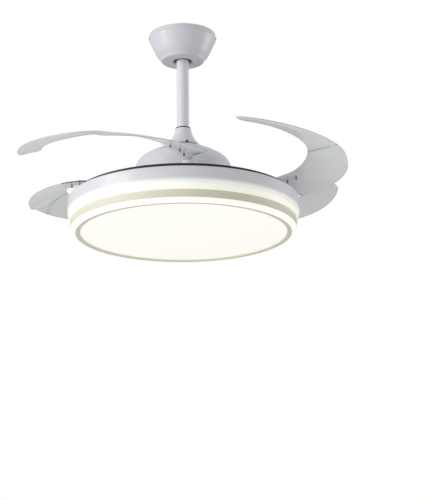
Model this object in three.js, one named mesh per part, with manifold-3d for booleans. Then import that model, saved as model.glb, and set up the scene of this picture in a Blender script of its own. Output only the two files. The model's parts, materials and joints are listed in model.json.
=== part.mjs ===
// Retractable blade ceiling fan with a round lamp under it.
//
// Millimetres, +Z up. The origin is the centre of the bracket's top face, which lies against the
// ceiling. Everything under the bracket is set out from the lamp's top rim: a level named ...Z is a
// height above that rim, and the group called belowCeiling carries the rim at its real height.
//
// The four crescent blades are drawn closed, wrapped round the fan's axis, and are then swung out
// by restOpening about their own pivots. They are kept in step by pinions on one ring gear.

import * as THREE from 'three';
import Module from 'manifold-3d';
import { mergeVertices } from 'three/addons/utils/BufferGeometryUtils.js';

const wasm = await Module();
wasm.setup();

// ---------------------------------------------------------------- driving dimensions

const fitGap = 0.3; // between pieces that seat on each other
const runningGap = 0.6; // between pieces that turn past each other

const ceilingToRim = 384.6; // ceiling face down to the lamp's top rim

const canopyRadius = 73.6;
const canopyHeight = 62.6;
const canopyRimHeight = 12.5;
const canopyFloorRadius = 47;
const canopyHoleRadius = 21;
const canopyWall = 1.2;

const bracketPlateThickness = 2.5;
const bracketPlateWidth = 36;
const bracketTabDrop = 12;
const bracketTabWidth = 16;
const bracketLegWidth = 24;
const bracketSlotSpacing = 96; // between the two slots for the screws into the ceiling
const bracketSlotLength = 20;
const bracketSlotWidth = 6;
const canopyScrewDrop = 7; // ceiling down to the canopy screws
const canopyScrewRadius = 2;
const canopyScrewHeadRadius = 4;
const canopyScrewHeadHeight = 2.6;
const canopyScrewLength = 12;

const receiverLength = 54;
const receiverWidth = 32;
const receiverHeight = 13;

const ballRadius = 26;
const ballDrop = 38.6; // ceiling down to the ball's centre
const ballFlatRise = 18; // ball's centre up to its flat top
const seatWall = 5;
const seatDepth = 15; // ball's centre down to the lower edge of its seat
const seatRise = 3;

const rodRadius = 13.35;
const rodWall = 2;
const rodTopDrop = 20; // ceiling down to the top end of the downrod
const rodPinRadius = 3;
const ballPinRise = 6; // above the ball's centre
const ballPinLength = 44;

const yokeCollarRadius = 18.6;
const yokeCollarHeight = 20;
const yokeFloorRise = 1.4; // over the bell's lower edge
const yokeFloorThickness = 4;
const yokeFlangeRadius = 33;
const yokeFlangeThickness = 4;
const yokeNeckRadius = 15;
const yokeNeckDepth = 18;
const wireHoleRadius = 5;

const bellTopRadius = 17.2;
const bellBottomRadius = 37.5;
const bellHeight = 40;
const bellWall = 1.6;
const sealHeight = 2.4;
const bellScrewRadius = 2.2;
const bellScrewAzimuth = -77;

const shaftRadius = 8.5;
const shaftSocketDepth = 14;
const shaftCollarRadius = 12;
const shaftCollarHeight = 2.6;
const shaftTailLength = 13; // below the chassis, for the nut

const shellRadius = 91;
const shellHeight = 70.2;
const shellWall = 3;
const bearingOuterRadius = 13.2;
const bearingHeight = 7;
const bearingWall = 5.5; // of the hubs that hold the bearings
const upperBearingRise = 1; // over the shell's roof

const domeWall = 2;
const domeShellGap = 11; // shell to the dome's skirt
const domeRoofGap = 5.5; // shell's roof up to the dome's shoulder
const domeShoulderRun = 8; // skirt in to the shoulder
const domeShoulderHeight = 13.5; // skirt up to the shoulder
const domeRise = 31.5; // shoulder up to the top
const domeTopInset = 0.5; // inside the bell's lower edge
const domeTopGap = 1.6; // under the bell

const magnetThickness = 4;
const magnetHeight = 30;
const stackHeight = 22; // of the stator's laminations
const statorRise = 38; // blade carrier up to the middle of the stack
const airGap = 0.8;
const statorToothCount = 9;
const statorToothWidth = 14;
const statorTipDepth = 5;
const statorYokeRadius = 36;
const statorBoreRadius = 25;
const statorSlotMouth = 5;
const windingEndHeight = 5;

const carrierRise = 5.5; // lamp's top plate up to the blade carrier
const carrierThickness = 3;
const carrierDiscRim = 8; // dome's skirt out to the edge of the carrier's disc
const carrierBossRadius = 15;
const carrierHubDrop = 1.6;
const carrierCollarWall = 2.6;

const bladeCount = 4;
const pivotReach = 51; // dome's skirt out to the blade pivots
const pivotAzimuth = -85.3; // of the first pivot, seen from above
const restOpening = 73.6; // how far the blades are swung out as drawn
const pinRadius = 5;
const pinHeadRadius = 10;
const pinHeadHeight = 3;
const springWire = 1.6;
const springCurls = 3;
const springRadius = 8;
const springHeight = 8;

const ringGearTeeth = 60;
const pinionTeeth = 15;
const gearHeight = 6;
const gearBacklash = 0.9;
const ringGearRoom = 3.7; // dome's skirt to the collar that guides the ring gear

const bladeThickness = 2.4;
const bladeSpan = 165.9; // arc from root to tip, degrees
const bladeRootLag = 8; // from the pivot to the inner corner of the root
const bladeRootShear = 0.1; // share of the arc by which the outer corner trails
const bladeStep = 0.42; // share of the arc at which the outer edge steps up
const bladeStepShear = 0.048;
const bladeCamber = 3;
const bladeTipRounding = 24;
const bladeInnerReaches = [[0, 0], [0.55, -18.4], [1, 6.6]]; // share of the arc, mm out from the pivots
const bladeOuterReaches = [[0, 82], [0.55, 62.8], [1, 52]];
const bladeInnerRises = [[0, 3.9], [0.42, 26.9], [0.71, 29.4], [1, 39.8]]; // above the holder's hub
const bladeEdgeDrops = [[0, 16.2], [0.42, 37.5], [0.435, 23.5], [1, 8.9]];

const holderHubRadius = 15;
const holderHubHeight = 17;
const holderPlateThickness = 5;
const holderInnerReach = -9; // from the pivots
const holderOuterReach = 29;
const holderReach = 40; // from the pivot along the blade, degrees
const clampThickness = 2;
const clampInset = 4;

const lampRadius = 250;
const housingHeight = 32;
const housingWall = 2.5;
const housingFlange = 18;
const upperRingHidden = 10; // how far the upper light ring reaches up inside the drum
const chassisInset = 12; // drum's wall in to the top plate's edge
const chassisRise = 6.5;
const chassisWall = 1.8;
const upperRingInset = 0.5; // inside the drum's wall
const upperRingVisible = 15.7;
const lightRingWall = 4;
const upperRingFlange = 9;
const bandInset = 3.5; // upper light ring in to the band
const bandWall = 2;
const bandHeight = 16.5;
const lowerRingInset = 0.5; // band in to the lower light ring
const lowerRingHeight = 9;
const lowerRingRun = 10; // how far the lower light ring rounds in
const bezelWidth = 10;
const bezelThickness = 3.4;
const diffuserThickness = 3;
const hubPlateRadius = 78;
const hubPlateThickness = 2.6;
const boardRadius = 200;
const boardThickness = 1.6;
const driverLength = 92;
const driverWidth = 34;
const driverHeight = 21;
const driverOffset = 18; // fan axis to the driver's near side
const nutAcrossFlats = 24;
const nutHeight = 7;

// ---------------------------------------------------------------- finishes

const finishes = {
  whitePaint: { color: '#d9dbe0', roughness: 0.42, metalness: 0.1 },
  whitePlastic: { color: '#e2e3e6', roughness: 0.5, metalness: 0 },
  blackPaint: { color: '#101214', roughness: 0.5, metalness: 0.2 },
  rubber: { color: '#1b1b1c', roughness: 0.85, metalness: 0 },
  steel: { color: '#a9adb2', roughness: 0.35, metalness: 1 },
  zinc: { color: '#bfc3c6', roughness: 0.4, metalness: 0.9 },
  castAluminium: { color: '#b4b7ba', roughness: 0.55, metalness: 0.8 },
  nylon: { color: '#ece9df', roughness: 0.55, metalness: 0 },
  smokeAcrylic: { color: '#a9b0b2', roughness: 0.08, metalness: 0 },
  opalAcrylic: { color: '#fffdf2', roughness: 0.35, metalness: 0 },
  khakiPaint: { color: '#c9c4b0', roughness: 0.45, metalness: 0.15 },
  laminations: { color: '#6f7276', roughness: 0.6, metalness: 0.8 },
  copper: { color: '#b2663a', roughness: 0.4, metalness: 0.9 },
  ferrite: { color: '#3a3b3e', roughness: 0.7, metalness: 0.2 },
  board: { color: '#f2f2ee', roughness: 0.5, metalness: 0 },
};

const materials = Object.fromEntries(
  Object.entries(finishes).map(([name, look]) => [name, new THREE.MeshStandardMaterial(look)]),
);

// ---------------------------------------------------------------- shape helpers

const radians = THREE.MathUtils.degToRad;

/** A closed geometry as a solid that can be joined and cut. */
function solidOf(geometry) {
  const bare = geometry.clone();
  bare.deleteAttribute('normal');
  bare.deleteAttribute('uv');
  const merged = mergeVertices(bare, 1e-4);
  const index = merged.index.array;
  const triangles = [];
  for (let i = 0; i < index.length; i += 3) {
    const [a, b, c] = [index[i], index[i + 1], index[i + 2]];
    if (a !== b && b !== c && c !== a) triangles.push(a, b, c);
  }
  const mesh = new wasm.Mesh({
    numProp: 3,
    vertProperties: new Float32Array(merged.attributes.position.array),
    triVerts: new Uint32Array(triangles),
  });
  return new wasm.Manifold(mesh);
}

function geometryOf(solid) {
  const mesh = solid.getMesh();
  const geometry = new THREE.BufferGeometry();
  geometry.setAttribute('position', new THREE.BufferAttribute(mesh.vertProperties, 3));
  geometry.setIndex(new THREE.BufferAttribute(mesh.triVerts, 1));
  return geometry;
}

function join(first, ...others) {
  return geometryOf(others.reduce((sum, other) => sum.add(solidOf(other)), solidOf(first)));
}

function cut(first, ...tools) {
  return geometryOf(tools.reduce((rest, tool) => rest.subtract(solidOf(tool)), solidOf(first)));
}

function common(first, second) {
  return geometryOf(solidOf(first).intersect(solidOf(second)));
}

/** Revolves a closed outline of [radius, z] points about the Z axis. */
function turned(outline, segments = 24) {
  let doubleArea = 0;
  outline.forEach(([r, z], i) => {
    const [nextR, nextZ] = outline[(i + 1) % outline.length];
    doubleArea += r * nextZ - nextR * z;
  });
  const ordered = doubleArea > 0 ? outline : [...outline].reverse();
  const points = [...ordered, ordered[0]].map(([r, z]) => new THREE.Vector2(r, z));
  return geometryOf(solidOf(new THREE.LatheGeometry(points, segments).rotateX(Math.PI / 2)));
}

/** A ring of rectangular section. */
function ring(innerRadius, outerRadius, lowZ, highZ, segments = 24) {
  return turned([[innerRadius, lowZ], [outerRadius, lowZ], [outerRadius, highZ], [innerRadius, highZ]], segments);
}

/** An upright cylinder between two heights. */
function post(radius, lowZ, highZ, segments = 24) {
  const height = highZ - lowZ;
  return new THREE.CylinderGeometry(radius, radius, height, segments)
    .rotateX(Math.PI / 2)
    .translate(0, 0, lowZ + height / 2);
}

/** A cylinder lying along X, from x = start to x = end. */
function crossbar(radius, start, end, segments = 12) {
  return new THREE.CylinderGeometry(radius, radius, end - start, segments)
    .rotateZ(-Math.PI / 2)
    .translate((start + end) / 2, 0, 0);
}

function box(lengthX, lengthY, lowZ, highZ) {
  return new THREE.BoxGeometry(lengthX, lengthY, highZ - lowZ).translate(0, 0, (lowZ + highZ) / 2);
}

/** A flat plate with the outline of a shape, between two heights. */
function plate(shape, lowZ, highZ, curveSegments = 12) {
  const geometry = new THREE.ExtrudeGeometry(shape, {
    depth: highZ - lowZ,
    bevelEnabled: false,
    curveSegments,
  });
  return geometry.translate(0, 0, lowZ);
}

function polar(radius, azimuthDegrees) {
  const angle = radians(azimuthDegrees);
  return new THREE.Vector2(radius * Math.cos(angle), radius * Math.sin(angle));
}

/** Value at x on a polyline of [x, value] knots, held level past its ends. */
function along(knots, x) {
  const next = knots.findIndex(([knot]) => knot >= x);
  if (next === 0) return knots[0][1];
  if (next < 0) return knots[knots.length - 1][1];
  const [x0, y0] = knots[next - 1];
  const [x1, y1] = knots[next];
  return y0 + ((y1 - y0) * (x - x0)) / (x1 - x0);
}

/** Value at x on a smooth curve through [x, value] knots, held level past its ends. */
function curved(knots, x) {
  const last = knots.length - 1;
  const at = THREE.MathUtils.clamp(x, knots[0][0], knots[last][0]);
  const next = Math.max(1, knots.findIndex(([knot]) => knot >= at));
  const [x0, y0] = knots[next - 1];
  const [x1, y1] = knots[next];
  const width = x1 - x0;
  const s = (at - x0) / width;
  const rise = s * s * (3 - 2 * s);
  const bend = knotSlope(knots, next - 1) * (1 - s) - knotSlope(knots, next) * s;
  return y0 * (1 - rise) + y1 * rise + width * s * (1 - s) * bend;
}

/** Slope at a knot: that of the line from the knot before it to the knot after it. */
function knotSlope(knots, i) {
  const [x0, y0] = knots[Math.max(i - 1, 0)];
  const [x1, y1] = knots[Math.min(i + 1, knots.length - 1)];
  return (y1 - y0) / (x1 - x0);
}

/** Points of a smooth curve through [radius, z] knots. */
function smooth(knots, count) {
  const curve = new THREE.SplineCurve(knots.map(([r, z]) => new THREE.Vector2(r, z)));
  return curve.getPoints(count).map((p) => [p.x, p.y]);
}

/** Skin over rings of equal point count; each end is closed by rungs from its first half to its second. */
function loft(rings) {
  const size = rings[0].length;
  const positions = rings.flat().flatMap((p) => [p.x, p.y, p.z]);
  const faces = [];
  for (let i = 0; i + 1 < rings.length; i += 1) {
    for (let j = 0; j < size; j += 1) {
      const a = i * size + j;
      const b = i * size + ((j + 1) % size);
      faces.push(a, b, b + size, a, b + size, a + size);
    }
  }
  const last = (rings.length - 1) * size;
  for (let low = 0, high = size - 1; high - low > 1; low += 1, high -= 1) {
    faces.push(low, high, low + 1, last + low, last + low + 1, last + high);
    if (high - low > 2) faces.push(low + 1, high, high - 1, last + low + 1, last + high - 1, last + high);
  }
  const geometry = new THREE.BufferGeometry();
  geometry.setAttribute('position', new THREE.Float32BufferAttribute(positions, 3));
  geometry.setIndex(faces);
  return geometry;
}

// ---------------------------------------------------------------- levels and radii worked out

const carrierZ = chassisRise + carrierRise;
const carrierTopZ = carrierZ + carrierThickness;
const shellTopZ = carrierTopZ + fitGap + shellHeight;
const domeShoulderZ = shellTopZ + domeRoofGap;
const domeSkirtZ = domeShoulderZ - domeShoulderHeight;
const domeTopZ = domeShoulderZ + domeRise;
const bellBottomZ = domeTopZ + domeTopGap;
const yokeFloorZ = bellBottomZ + yokeFloorRise;
const domeRadius = shellRadius + domeShellGap + domeWall;
const domeShoulderRadius = domeRadius - domeShoulderRun;
const domeTopRadius = bellBottomRadius - domeTopInset;
const pivotRadius = domeRadius + pivotReach; // fan axis to blade pivots

// ---------------------------------------------------------------- scene

const fan = new THREE.Group();
const belowCeiling = new THREE.Group();
belowCeiling.position.z = -ceilingToRim;
fan.add(belowCeiling);

function place(parent, name, geometry, finish) {
  const mesh = new THREE.Mesh(geometry, materials[finish]);
  mesh.name = name;
  parent.add(mesh);
  return mesh;
}

// ---------------------------------------------------------------- ceiling fixing

const canopySegments = 32;
const canopyInnerRadius = canopyRadius - canopyWall;
const canopyClearRadius = canopyInnerRadius * Math.cos(Math.PI / canopySegments) - fitGap;
const tabOuterX = Math.sqrt(canopyClearRadius ** 2 - (bracketTabWidth / 2) ** 2);

const ballSegments = 20;
const ballBelts = 12;
const ballFacetShare = Math.cos(Math.PI / ballSegments) * Math.cos(Math.PI / 2 / ballBelts); // flats to corners

function ballShape(radius) {
  return new THREE.SphereGeometry(radius, ballSegments, ballBelts).rotateX(Math.PI / 2);
}

/** Bent steel bracket: plate, two side tabs for the canopy, two legs and the ball's seat. */
function ceilingBracket() {
  const sheet = bracketPlateThickness;
  const seatOuter = ballRadius + fitGap + seatWall;
  const seatLow = -ballDrop - seatDepth;
  const seatHigh = -ballDrop + seatRise;
  const strap = box(tabOuterX * 2, bracketPlateWidth, -sheet, 0);
  const parts = [common(strap, post(canopyClearRadius, -sheet, 0, canopySegments))];
  for (const side of [-1, 1]) {
    const tab = box(sheet, bracketTabWidth, -bracketTabDrop, 0).translate(side * (tabOuterX - sheet / 2), 0, 0);
    const leg = box(sheet, bracketLegWidth, seatLow, 0).translate(side * (seatOuter - sheet / 2), 0, 0);
    parts.push(tab, leg);
  }
  parts.push(post(seatOuter, seatLow, seatHigh));
  const ballRoom = ballShape((ballRadius + fitGap) / ballFacetShare).translate(0, 0, -ballDrop);
  const ballEntry = post((ballRadius + fitGap) / ballFacetShare, -ballDrop, seatHigh + 1);
  const rodEntry = box((rodRadius + 2) * 2, seatOuter * 2, seatLow - 1, seatHigh + 1)
    .translate(0, seatOuter, 0);
  const rodRoom = post(rodRadius + 7, seatLow - 1, seatLow + seatWall);
  const screwRoom = crossbar(canopyScrewRadius + fitGap, -canopyRadius, canopyRadius)
    .translate(0, 0, -canopyScrewDrop);
  const slots = [-1, 1].map((side) => box(bracketSlotLength, bracketSlotWidth, -sheet - 1, 1)
    .translate((side * bracketSlotSpacing) / 2, 0, 0));
  return cut(join(...parts), ballRoom, ballEntry, rodEntry, rodRoom, screwRoom, ...slots);
}

/** Spun steel cup with a short straight rim and a hole for the downrod in its floor. */
function canopy() {
  const floor = -canopyHeight;
  const corner = 4;
  const side = smooth([
    [canopyRadius, -canopyRimHeight],
    [(canopyRadius * 0.78 + canopyFloorRadius * 0.22), -canopyRimHeight - (canopyHeight - canopyRimHeight) * 0.25],
    [(canopyRadius * 0.38 + canopyFloorRadius * 0.62), -canopyRimHeight - (canopyHeight - canopyRimHeight) * 0.69],
    [canopyFloorRadius + 1, floor + corner],
  ], 4);
  const outer = [[canopyRadius, -fitGap], ...side, [canopyFloorRadius - corner / 2, floor], [canopyHoleRadius, floor]];
  const inner = [[canopyHoleRadius, floor + canopyWall], [canopyFloorRadius - corner, floor + canopyWall]];
  for (const [r, z] of [side[4], side[2], side[0]]) inner.push([r - canopyWall * 1.1, z]);
  inner.push([canopyInnerRadius, -fitGap]);
  const screwRoom = crossbar(canopyScrewRadius + fitGap, -canopyRadius - 1, canopyRadius + 1)
    .translate(0, 0, -canopyScrewDrop);
  return cut(turned([...outer, ...inner], canopySegments), screwRoom);
}

/** Pan-head screw lying along X, with its head out at the canopy's side. */
function canopyScrew(side) {
  const seat = canopyRadius + fitGap;
  const shank = crossbar(canopyScrewRadius, seat - canopyScrewLength, seat + 1, 12);
  const head = crossbar(canopyScrewHeadRadius, seat, seat + canopyScrewHeadHeight, 16);
  const screw = join(shank, head);
  return side > 0 ? screw : screw.rotateZ(Math.PI);
}

function addCeilingFixing() {
  place(fan, 'ceiling_bracket', ceilingBracket(), 'zinc');
  place(fan, 'canopy', canopy(), 'whitePaint');
  place(fan, 'canopy_screw_left', canopyScrew(-1), 'steel').position.z = -canopyScrewDrop;
  place(fan, 'canopy_screw_right', canopyScrew(1), 'steel').position.z = -canopyScrewDrop;
  const receiverTop = -bracketPlateThickness - fitGap;
  place(fan, 'receiver', box(receiverLength, receiverWidth, receiverTop - receiverHeight, receiverTop), 'whitePlastic');
}

// ---------------------------------------------------------------- downrod and yoke

const rodTopZ = ceilingToRim - rodTopDrop;
const ballZ = ceilingToRim - ballDrop;
const ballPinZ = ballZ + ballPinRise;
const rodBottomZ = yokeFloorZ + yokeFloorThickness + fitGap;
const yokePinZ = rodBottomZ + (yokeCollarHeight - yokeFloorThickness) / 2;

/** Ball that hangs in the bracket's seat, bored for the downrod and drilled for its pin. */
function hangerBall() {
  const ball = ballShape(ballRadius);
  const crown = box(ballRadius * 3, ballRadius * 3, ballFlatRise, ballRadius * 2);
  const bore = post(rodRadius + fitGap, -ballRadius * 2, ballRadius * 2);
  const pinHole = crossbar(rodPinRadius + fitGap, -ballRadius * 2, ballRadius * 2)
    .rotateZ(Math.PI / 2)
    .translate(0, 0, ballPinRise);
  return cut(ball, crown, bore, pinHole).translate(0, 0, ballZ);
}

function downrod() {
  const tube = ring(rodRadius - rodWall, rodRadius, rodBottomZ, rodTopZ);
  const ballHole = crossbar(rodPinRadius + fitGap, -rodRadius * 2, rodRadius * 2)
    .rotateZ(Math.PI / 2)
    .translate(0, 0, ballPinZ);
  const yokeHole = crossbar(rodPinRadius + fitGap, -rodRadius * 2, rodRadius * 2).translate(0, 0, yokePinZ);
  return cut(tube, ballHole, yokeHole);
}

/** Cast coupling: collar for the downrod, flange for the bell and socket for the motor shaft. */
function yoke() {
  const bore = rodRadius + fitGap;
  const collarTop = yokeFloorZ + yokeCollarHeight;
  const neckLow = yokeFloorZ - yokeNeckDepth;
  const body = turned([
    [wireHoleRadius, neckLow],
    [yokeNeckRadius, neckLow],
    [yokeNeckRadius, yokeFloorZ - yokeFlangeThickness / 2],
    [yokeFlangeRadius, yokeFloorZ - yokeFlangeThickness / 2],
    [yokeFlangeRadius, yokeFloorZ + yokeFlangeThickness / 2],
    [yokeCollarRadius, yokeFloorZ + yokeFlangeThickness / 2],
    [yokeCollarRadius, collarTop],
    [bore, collarTop],
    [bore, yokeFloorZ + yokeFloorThickness],
    [wireHoleRadius, yokeFloorZ + yokeFloorThickness],
  ]);
  const socket = post(shaftRadius + fitGap, neckLow - 1, neckLow + shaftSocketDepth, 24);
  const pinHole = crossbar(rodPinRadius + fitGap, -yokeFlangeRadius, yokeFlangeRadius).translate(0, 0, yokePinZ);
  const screwHole = crossbar(bellScrewRadius - fitGap, yokeFlangeRadius - 8, yokeFlangeRadius + 1, 12)
    .translate(0, 0, yokeFloorZ);
  return cut(body, socket, pinHole, screwHole.rotateZ(radians(bellScrewAzimuth)));
}

const bellTopZ = bellBottomZ + bellHeight;
const bellMouth = rodRadius + fitGap;
const bellKnots = [
  [bellTopRadius, bellTopZ],
  [bellTopRadius + (bellBottomRadius - bellTopRadius) * 0.1, bellTopZ - bellHeight * 0.21],
  [bellTopRadius + (bellBottomRadius - bellTopRadius) * 0.3, bellTopZ - bellHeight * 0.49],
  [bellTopRadius + (bellBottomRadius - bellTopRadius) * 0.6, bellTopZ - bellHeight * 0.73],
  [bellBottomRadius, bellBottomZ + 2],
];

/** Bell that hides the yoke: a flared shell that closes on the downrod at its top. */
function bell() {
  const flare = smooth(bellKnots, 6);
  const inside = [...flare].reverse().map(([r, z]) => [r - bellWall, z - bellWall * 0.5]);
  const roof = bellTopZ - bellWall * 1.5;
  const outline = [
    [bellMouth, bellTopZ],
    ...flare,
    [bellBottomRadius, bellBottomZ],
    [bellBottomRadius - bellWall, bellBottomZ],
    ...inside.filter(([r, z]) => z > bellBottomZ + 0.5 && z < roof - 1 && r > bellMouth + 0.5),
    [bellMouth, roof],
  ];
  const hole = crossbar(bellScrewRadius + fitGap, bellBottomRadius - 8, bellBottomRadius + 8, 12)
    .translate(0, 0, yokeFloorZ)
    .rotateZ(radians(bellScrewAzimuth));
  return cut(turned(outline, 24), hole);
}

function bellScrew() {
  const tip = yokeFlangeRadius + fitGap;
  const screw = crossbar(bellScrewRadius, tip, bellBottomRadius + 1, 12);
  return screw.translate(0, 0, yokeFloorZ).rotateZ(radians(bellScrewAzimuth));
}

function addDownrod() {
  place(belowCeiling, 'hanger_ball', hangerBall(), 'nylon');
  const ballPin = crossbar(rodPinRadius, -ballPinLength / 2, ballPinLength / 2).rotateZ(Math.PI / 2);
  place(belowCeiling, 'ball_pin', ballPin, 'steel').position.z = ballPinZ;
  place(belowCeiling, 'downrod', downrod(), 'whitePaint');
  place(belowCeiling, 'yoke', yoke(), 'castAluminium');
  const yokePin = crossbar(rodPinRadius, -yokeCollarRadius, yokeCollarRadius);
  place(belowCeiling, 'yoke_pin', yokePin, 'steel').position.z = yokePinZ;
  place(belowCeiling, 'yoke_cover', bell(), 'whitePaint');
  place(belowCeiling, 'yoke_cover_screw', bellScrew(), 'blackPaint');
  const sealLow = bellTopZ + fitGap;
  place(belowCeiling, 'yoke_seal', ring(bellMouth, bellTopRadius, sealLow, sealLow + sealHeight), 'rubber');
}

// ---------------------------------------------------------------- motor

const chassisTopZ = chassisRise;
const chassisLowZ = chassisRise - chassisWall;
const shaftLowZ = chassisLowZ - shaftTailLength;
const shaftTopZ = yokeFloorZ - yokeNeckDepth + shaftSocketDepth - fitGap;
const shaftCollarZ = chassisTopZ + fitGap;
const lowerBearingZ = carrierZ + 1;
const upperBearingZ = shellTopZ + upperBearingRise;
const hubRadius = bearingOuterRadius + fitGap + bearingWall;
const magnetOuterRadius = shellRadius - shellWall - fitGap;
const magnetInnerRadius = magnetOuterRadius - magnetThickness;
const statorRadius = magnetInnerRadius - airGap;
const rotorSegments = 32;
const statorMidZ = carrierTopZ + statorRise;
const stackLowZ = statorMidZ - stackHeight / 2;
const stackHighZ = statorMidZ + stackHeight / 2;

/** Hollow fixed shaft with the collar that the lamp's chassis is clamped against. */
function motorShaft() {
  return turned([
    [wireHoleRadius, shaftLowZ],
    [shaftRadius, shaftLowZ],
    [shaftRadius, shaftCollarZ],
    [shaftCollarRadius, shaftCollarZ],
    [shaftCollarRadius, shaftCollarZ + shaftCollarHeight],
    [shaftRadius, shaftCollarZ + shaftCollarHeight],
    [shaftRadius, shaftTopZ],
    [wireHoleRadius, shaftTopZ],
  ], 16);
}

/** Stack of laminations: a ring with T-shaped teeth. */
function statorShape(clearance) {
  const shape = new THREE.Shape();
  const halfTooth = statorToothWidth / 2 + clearance;
  const rootRadius = statorYokeRadius + clearance;
  const neckRadius = statorRadius - statorTipDepth - clearance;
  const halfPitch = 180 / statorToothCount;
  const tipHalfAngle = halfPitch - THREE.MathUtils.radToDeg(statorSlotMouth / 2 / statorRadius);
  for (let i = 0; i < statorToothCount; i += 1) {
    const azimuth = i * halfPitch * 2;
    const atWidth = (radius) => THREE.MathUtils.radToDeg(Math.asin(halfTooth / radius));
    const corners = [
      [rootRadius, -atWidth(rootRadius)],
      [neckRadius, -atWidth(neckRadius)],
      [neckRadius + 1, -tipHalfAngle],
      [statorRadius, -tipHalfAngle],
      [statorRadius, 0],
      [statorRadius, tipHalfAngle],
      [neckRadius + 1, tipHalfAngle],
      [neckRadius, atWidth(neckRadius)],
      [rootRadius, atWidth(rootRadius)],
    ];
    corners.forEach(([radius, offset], j) => {
      const p = polar(radius, azimuth + offset);
      if (i === 0 && j === 0) shape.moveTo(p.x, p.y);
      else shape.lineTo(p.x, p.y);
    });
  }
  shape.closePath();
  return shape;
}

function statorCore() {
  const stack = plate(statorShape(0), stackLowZ, stackHighZ);
  return cut(stack, post(statorBoreRadius, stackLowZ - 1, stackHighZ + 1));
}

function statorHub() {
  const flangeRadius = statorBoreRadius + 4;
  const bore = shaftRadius + fitGap;
  const seat = statorBoreRadius - fitGap;
  return turned([
    [bore, stackLowZ - 5],
    [flangeRadius, stackLowZ - 5],
    [flangeRadius, stackLowZ - fitGap],
    [seat, stackLowZ - fitGap],
    [seat, stackHighZ],
    [bore, stackHighZ],
  ]);
}

/** Coils round the teeth, tied together by the insulator ring at their roots. */
function statorWinding() {
  const coilRadius = statorRadius - statorTipDepth - 3;
  const ringRadius = statorYokeRadius + 5;
  const low = stackLowZ - windingEndHeight;
  const high = stackHighZ + windingEndHeight;
  const body = ring(statorYokeRadius - 4, coilRadius, low, high);
  const core = plate(statorShape(fitGap), stackLowZ - fitGap, stackHighZ + fitGap);
  const tools = [core];
  for (let i = 0; i < statorToothCount; i += 1) {
    const gap = box(coilRadius, 4, low - 1, high + 1).translate(ringRadius + coilRadius / 2, 0, 0);
    tools.push(gap.rotateZ(radians((i + 0.5) * (360 / statorToothCount))));
  }
  return cut(body, ...tools);
}

/** Rotor can: flat roof with the upper bearing's hub, and the wall that carries the magnets. */
function rotorShell() {
  const bearingRoom = bearingOuterRadius + fitGap;
  const pocketTop = upperBearingZ + bearingHeight + fitGap;
  const lip = shaftRadius + 2;
  const roofLow = shellTopZ - shellWall;
  return turned([
    [shellRadius - shellWall, shellTopZ - shellHeight],
    [shellRadius, shellTopZ - shellHeight],
    [shellRadius, shellTopZ],
    [hubRadius, shellTopZ],
    [hubRadius, pocketTop + shellWall],
    [lip, pocketTop + shellWall],
    [lip, pocketTop],
    [bearingRoom, pocketTop],
    [bearingRoom, roofLow],
    [shellRadius - shellWall, roofLow],
  ], rotorSegments);
}

/** Cast dome over the motor: a shallow cone, a rounded shoulder and a straight skirt. */
function domeCover() {
  const cone = smooth([
    [domeTopRadius, domeTopZ],
    [domeTopRadius + (domeShoulderRadius - domeTopRadius) * 0.24, domeShoulderZ + (domeTopZ - domeShoulderZ) * 0.8],
    [domeTopRadius + (domeShoulderRadius - domeTopRadius) * 0.62, domeShoulderZ + (domeTopZ - domeShoulderZ) * 0.46],
    [domeShoulderRadius, domeShoulderZ],
    [domeRadius, domeSkirtZ],
  ], 7);
  const inner = [cone[7], cone[5], cone[3]].map(([r, z]) => [r - domeWall, z - domeWall]);
  inner.push([domeTopRadius - domeWall * 0.4, domeTopZ - domeWall * 1.6]);
  return turned([
    ...cone,
    [domeRadius, carrierTopZ + fitGap],
    [domeRadius - domeWall, carrierTopZ + fitGap],
    ...inner,
  ], rotorSegments);
}

function bearing(lowZ) {
  const bore = shaftRadius + fitGap;
  return ring(bore, bearingOuterRadius, lowZ, lowZ + bearingHeight);
}

function addMotor(rotor) {
  place(belowCeiling, 'motor_shaft', motorShaft(), 'steel');
  place(belowCeiling, 'stator_hub', statorHub(), 'castAluminium');
  place(belowCeiling, 'stator_core', statorCore(), 'laminations');
  place(belowCeiling, 'stator_winding', statorWinding(), 'copper');
  place(rotor, 'rotor_shell', rotorShell(), 'castAluminium');
  place(rotor, 'dome_cover', domeCover(), 'whitePaint');
  const magnetLow = statorMidZ - magnetHeight / 2;
  const magnets = ring(magnetInnerRadius, magnetOuterRadius, magnetLow, magnetLow + magnetHeight, rotorSegments);
  place(rotor, 'magnet_ring', magnets, 'ferrite');
  place(rotor, 'upper_bearing', bearing(upperBearingZ), 'steel');
  place(rotor, 'lower_bearing', bearing(lowerBearingZ), 'steel');
}

// ---------------------------------------------------------------- blade carrier and gears

const gearModule = (2 * pivotRadius) / (ringGearTeeth + pinionTeeth);
const ringGearRadius = (gearModule * ringGearTeeth) / 2;
const pinionRadius = (gearModule * pinionTeeth) / 2;
const gearLowZ = carrierTopZ + fitGap;
const gearHighZ = gearLowZ + gearHeight;
const collarInner = domeRadius + ringGearRoom;
const collarOuter = collarInner + carrierCollarWall;
const ringGearBore = collarOuter + runningGap;
const carrierDiscRadius = domeRadius + carrierDiscRim;
const hubLowZ = gearHighZ + fitGap;
const hubHighZ = hubLowZ + holderHubHeight;
const springLowZ = hubHighZ + fitGap;
const headLowZ = springLowZ + springHeight + fitGap;
const pinLowZ = carrierZ - carrierThickness;

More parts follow.
